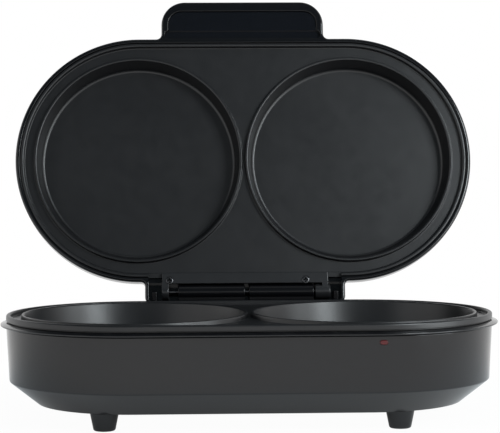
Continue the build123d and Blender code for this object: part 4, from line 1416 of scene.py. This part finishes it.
@dataclass(frozen=True)
class HingeStrip:
    """The strip screwed to the lid, with a collar on the pin at each end."""

    layout: Layout
    front: float = 82.85 * MM
    seat_gap: float = 0.1 * MM
    thickness: float = 3.1 * MM
    collars: tuple[Span, ...] = ((-59.5 * MM, -54.5 * MM), (50.0 * MM, 60.9 * MM))
    links: tuple[Span, ...] = ((-59.5 * MM, -54.5 * MM), (54.85 * MM, 59.25 * MM))
    link_overlap: float = 1.2 * MM
    pin_gap: float = 0.06 * MM
    pin_span: Span = (-59.0 * MM, 60.4 * MM)
    screws: tuple[float, ...] = (-53.9 * MM, 43.2 * MM)
    screw_y: float = 88.4 * MM
    screw_length: float = 7 * MM
    shank_radius: float = 1.2 * MM
    shank_length: float = 6.4 * MM
    shank_bore: float = 1.35 * MM
    point_radius: float = 0.7 * MM
    head_radius: float = 2.75 * MM
    head_height: float = 1.2 * MM
    head_depth: float = 1.0 * MM
    head_gap: float = 0.15 * MM
    head_bevel: tuple[float, float] = (0.25 * MM, 0.55 * MM)
    cross_long: float = 1.95 * MM
    cross_wide: float = 0.7 * MM
    cross_depth: float = 1.9 * MM
    cross_start: float = 0.2 * MM
    cross_taper: float = 0.3

    @property
    def low(self) -> float:
        """Level of the face that shows when the lid is open."""
        return self.layout.parting + self.seat_gap

    def build(self) -> bpy.types.Object:
        """The strip with its collars."""
        low, high = self.low, self.low + self.thickness
        back = self.layout.bar_back
        strip = block(either_side(self.layout.bar_half_width), (self.front, back), (low, high), 0.55 * MM)
        parts = [self.layout.along_hinge(self.layout.barrel_radius, span, rounding=0.8 * MM)
                 for span in self.collars]
        parts += [block(span, (back - self.link_overlap, self.layout.hinge_y), (low, high), 0.3 * MM)
                  for span in self.links]
        bm = worked(strip, parts, Cut.ADD)
        bores = self.layout.hinge_bores(self.layout.pin_radius + self.pin_gap, self.collars)
        for x in self.screws:
            middle = (x, self.screw_y, 0)
            bores.append(bar(self.head_radius + self.head_gap, middle, Axis.Z,
                             (low - PAST, low + self.head_depth)))
            bores.append(bar(self.shank_bore, middle, Axis.Z, (low, high + PAST), steps=24))
        bm = worked(bm, bores, Cut.REMOVE)
        return settle(bm, self.layout, "hinge_strip", Body.LID, STRIP_BLACK, "hinge_bar")

    def cross_arm(self, x: float, low: float, across: float, up: float) -> Mesh:
        """One arm of a screw's cross, tapered towards its bottom.

        Args:
            x: the screw's place from side to side.
            low: the level of the face of its head.
            across: how far the arm reaches from side to side.
            up: how far it reaches from front to back.

        Returns:
            A closed mesh.
        """
        arm = block(either_side(across, x), either_side(up, self.screw_y),
                    (low - self.cross_start, low + self.cross_depth))
        deep = [vert for vert in arm.verts if vert.co.z > low]
        bmesh.ops.scale(arm, vec=(self.cross_taper, self.cross_taper, 1), verts=deep,
                        space=Matrix.Translation((-x, -self.screw_y, 0)))
        return arm

    def screw(self, x: float) -> Mesh:
        """One cross-headed screw."""
        seat = self.low + self.head_depth
        low = seat - self.head_height
        line = corners(
            (0, low),
            (self.head_radius - self.head_bevel[0], low, 0.8 * MM),
            (self.head_radius, low + self.head_bevel[1], 0.25 * MM),
            (self.head_radius, seat, 0.08 * MM),
            (self.shank_radius, seat),
            (self.shank_radius, seat + self.shank_length),
            (self.point_radius, seat + self.screw_length),
            (0, seat + self.screw_length),
        )
        bm = turned(line, x, self.screw_y, steps=40)
        for across, up in ((self.cross_long, self.cross_wide), (self.cross_wide, self.cross_long)):
            bm = worked(bm, [self.cross_arm(x, low, across, up)], Cut.REMOVE)
        return bm

    def build_screws(self) -> bpy.types.Object:
        """The two screws of the strip."""
        bm = joined([self.screw(x) for x in self.screws])
        return settle(bm, self.layout, "hinge_strip_screws", Body.LID, DARK_STEEL,
                      "hinge_bar_screws")

    def build_pin(self) -> bpy.types.Object:
        """The pin through the barrels and collars."""
        bm = self.layout.along_hinge(self.layout.pin_radius, self.pin_span, rounding=0.3 * MM)
        return settle(bm, self.layout, "hinge_rod", Body.BASE, DARK_STEEL, "hinge_pin")


# The studio


@dataclass(frozen=True)
class PhotoCamera:
    """The viewing angle of the photograph, with places measured from the middle of the base."""

    azimuth: float = math.radians(-1.854)
    elevation: float = math.radians(2.632)
    roll: float = math.radians(-0.283)
    distance: float = 1271.0 * MM
    target: Vector = field(default_factory=lambda: Vector((0.62, 0, 133.7)) * MM)
    lens: float = 137.91
    sensor: float = 36.0
    nearest: float = 50 * MM

    def build(self, layout: Layout) -> bpy.types.Object:
        """Set up the camera of the scene.

        Args:
            layout: where the middle of the base lies in the frame.

        Returns:
            The camera.
        """
        tilt = math.cos(self.elevation)
        forward = Vector((-math.sin(self.azimuth) * tilt, math.cos(self.azimuth) * tilt,
                          -math.sin(self.elevation)))
        level = Vector((math.cos(self.azimuth), math.sin(self.azimuth), 0))
        upright = level.cross(forward)
        right = math.cos(self.roll) * level + math.sin(self.roll) * upright
        top = math.cos(self.roll) * upright - math.sin(self.roll) * level
        data = bpy.data.cameras.new("photo_camera")
        data.lens = self.lens
        data.sensor_width = self.sensor
        data.clip_start = self.nearest
        camera = bpy.data.objects.new("photo_camera", data)
        turn = Matrix((right, top, -forward)).transposed().to_4x4()
        spot = self.target + layout.shift - forward * self.distance
        camera.matrix_world = Matrix.Translation(spot) @ turn
        bpy.context.scene.collection.objects.link(camera)
        bpy.context.scene.camera = camera
        return camera


@dataclass(frozen=True)
class Softbox:
    """A soft light that faces the product, with its angles in degrees."""

    name: str
    azimuth: float
    elevation: float
    distance: float
    width: float
    height: float
    radiance: float
    colour: tuple[float, float, float] = (1.0, 1.0, 1.0)
    aim_level: float = 120 * MM

    def build(self) -> bpy.types.Object:
        """Hang the light."""
        data = bpy.data.lights.new(self.name, "AREA")
        data.shape = "RECTANGLE"
        data.size = self.width
        data.size_y = self.height
        data.energy = self.radiance * math.pi * self.width * self.height
        data.color = self.colour
        lamp = bpy.data.objects.new(self.name, data)
        side, up = math.radians(self.azimuth), math.radians(self.elevation)
        direction = Vector((math.sin(side) * math.cos(up), -math.cos(side) * math.cos(up), math.sin(up)))
        lamp.location = direction * self.distance + Vector((0, 0, self.aim_level))
        lamp.rotation_euler = direction.to_track_quat("Z", "Y").to_euler()
        lamp.visible_camera = False
        bpy.context.scene.collection.objects.link(lamp)
        return lamp


COOL_LIGHT = (0.9, 0.97, 1.0)
COLD_LIGHT = (0.7, 0.88, 1.0, 1.0)
SOFTBOXES = (
    Softbox("right_softbox", 43, 23, 1.0, 0.3, 0.4, 17.0, COOL_LIGHT),
    Softbox("side_softbox", 74, 14, 1.2, 0.35, 0.7, 2.2, COOL_LIGHT),
    Softbox("low_softbox", 58, -4, 0.6, 0.3, 0.13, 5.0, COOL_LIGHT),
    Softbox("left_softbox", -46, 22, 1.2, 0.14, 0.3, 2.0),
    Softbox("top_softbox", 10, 80, 1.8, 1.2, 0.9, 0.35),
)


@dataclass(frozen=True)
class Studio:
    """Pale floor, white surroundings and soft lights."""

    floor_size: float = 14.0
    floor_colour: float = 0.82
    fill_strength: float = 0.6
    front_shade: float = 0.09
    shaded_white: float = 0.97
    mirrored_white: float = 0.2
    shadow_shape: tuple[float, float, float] = (0.55, 1.0, 0.0)
    shadow_edge: Span = (0.1, 0.3)
    dim_edge: Span = (0.1, 0.3)
    side_edge: Span = (-0.8, -0.4)
    side_rise: float = 0.35

    def build(self) -> None:
        """Set up the floor, the world and the lights."""
        bpy.context.scene.view_settings.view_transform = "Standard"
        self.build_floor()
        self.build_world()
        for softbox in SOFTBOXES:
            softbox.build()

    def build_floor(self) -> None:
        """A wide floor that keeps the shadow near the product and looks white around it."""
        bm = bmesh.new()
        bmesh.ops.create_grid(bm, x_segments=1, y_segments=1, size=self.floor_size / 2)
        floor = as_object("studio_floor", bm)
        bpy.context.scene.collection.objects.link(floor)
        made = bpy.data.materials.new("pale_floor")
        made.use_nodes = True
        sheet = NodeSheet(made.node_tree)
        paint = sheet.out("ShaderNodeBsdfDiffuse", 0, Color=grey(self.floor_colour))
        glow = sheet.out("ShaderNodeEmission", 0, Color=grey(1.0), Strength=1.0)
        surface = sheet.out("ShaderNodeMixShader", 0, i0=self.white_share(sheet), i1=paint, i2=glow)
        sheet.node("ShaderNodeOutputMaterial", Surface=surface)
        floor.data.materials.append(made)

    def white_share(self, sheet: NodeSheet) -> Wire:
        """How much of the floor is plain white: most of it for the camera, and all of it further away."""
        place = sheet.out("ShaderNodeTexCoord", "Object")
        squeezed = sheet.out("ShaderNodeVectorMath", 0, {"operation": "MULTIPLY"}, i0=place,
                             i1=self.shadow_shape)
        distance = sheet.out("ShaderNodeVectorMath", "Value", {"operation": "LENGTH"}, i0=squeezed)
        away = sheet.ramp(distance, self.shadow_edge, eased=True)
        camera = sheet.out("ShaderNodeLightPath", "Is Camera Ray")
        least = self.mirrored_white + camera * (self.shaded_white - self.mirrored_white)
        return self.seen(sheet) * (least + (1.0 - least) * away)

    @staticmethod
    def seen(sheet: NodeSheet) -> Wire:
        """One for a ray that shows the surroundings, straight or in gloss and glass, and none for light."""
        rays = ("Is Camera Ray", "Is Glossy Ray", "Is Transmission Ray")
        camera, glossy, through = sheet.outs("ShaderNodeLightPath", rays)
        return sheet.maths("MAXIMUM", camera, sheet.maths("MAXIMUM", glossy, through))

    def build_world(self) -> None:
        """White round the product, and dim and cold overhead, further down in front than elsewhere."""
        world = bpy.data.worlds.new("studio_world")
        world.use_nodes = True
        bpy.context.scene.world = world
        sheet = NodeSheet(world.node_tree)
        direction = sheet.out("ShaderNodeTexCoord", "Generated")
        back, up = sheet.outs("ShaderNodeSeparateXYZ", ("Y", "Z"), Vector=direction)
        aside = sheet.ramp(back, self.side_edge, eased=True)
        dim = sheet.ramp(up - aside * self.side_rise, self.dim_edge, eased=True)
        hidden = (1.0 - sheet.out("ShaderNodeLightPath", "Is Camera Ray")) * dim
        shown = 1.0 - hidden * (1.0 - self.front_shade)
        seen = self.seen(sheet)
        strength = seen * shown + (1.0 - seen) * self.fill_strength
        tint = sheet.blend_colours(hidden, grey(1.0), COLD_LIGHT)
        background = sheet.out("ShaderNodeBackground", 0, Color=tint, Strength=strength)
        sheet.node("ShaderNodeOutputWorld", Surface=background)


# What stays as packed


def smoothing_group() -> bpy.types.NodeTree:
    """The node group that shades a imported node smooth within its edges."""
    group = bpy.data.node_groups.new("smooth_within_edges", "GeometryNodeTree")
    for way in ("INPUT", "OUTPUT"):
        group.interface.new_socket("Geometry", in_out=way, socket_type="NodeSocketGeometry")
    sheet = NodeSheet(group)
    shape = sheet.out("NodeGroupInput", 0)
    angle = sheet.out("GeometryNodeInputMeshEdgeAngle", 0)
    flat = 1.0 - sheet.maths("GREATER_THAN", angle, SMOOTH_ANGLE)
    faces = sheet.out("GeometryNodeSetShadeSmooth", 0, {"domain": "FACE"}, Geometry=shape, i2=True)
    edges = sheet.out("GeometryNodeSetShadeSmooth", 0, {"domain": "EDGE"}, Geometry=faces, i2=flat)
    sheet.node("NodeGroupOutput", i0=edges)
    return group


def dress_packed_nodes(nodes: dict[str, bpy.types.Object]) -> None:
    """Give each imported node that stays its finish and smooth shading.

    Args:
        nodes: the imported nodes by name.
    """
    group = smoothing_group()
    for finish, names in PACKED_FINISHES:
        for name in names:
            node = nodes[name]
            material = finish.material()
            for place in node.material_slots:
                place.material = material
            weld = node.modifiers.new("merged", "WELD")
            weld.merge_threshold = MERGE_DISTANCE
            smoothing = node.modifiers.new("smooth_within_edges", "NODES")
            smoothing.node_group = group
            weigh_normals(node)
            LOG.info("%s keeps its packed form in %s", name, material.name)


def main() -> None:
    """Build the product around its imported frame, then the studio."""
    logging.basicConfig(level=logging.INFO, format="%(message)s")
    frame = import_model()
    hinge = frame["joints"][0]
    layout = Layout(hinge=Vector(hinge["pos_m"]), open_angle=math.radians(hinge["range_deg"][1]))
    PhotoCamera().build(layout)
    Studio().build()
    CookingPlate(layout, floor_thickness=2.8 * MM, post_length=13 * MM).build_lower()
    CookingPlate(layout, floor_thickness=1.6 * MM, post_length=7.6 * MM).build_upper()
    shell = BaseShell(layout)
    shell.build()
    HingeShelf(layout).build()
    FootSet(layout).build()
    IndicatorWindow(layout, shell).build()
    GlandBush(layout, shell).build()
    lid = LidShell(layout)
    lid.build()
    lid.build_underside()
    strip = HingeStrip(layout)
    strip.build()
    strip.build_screws()
    strip.build_pin()
    dress_packed_nodes(frame["nodes"])


if __name__ == "__main__":
    main()
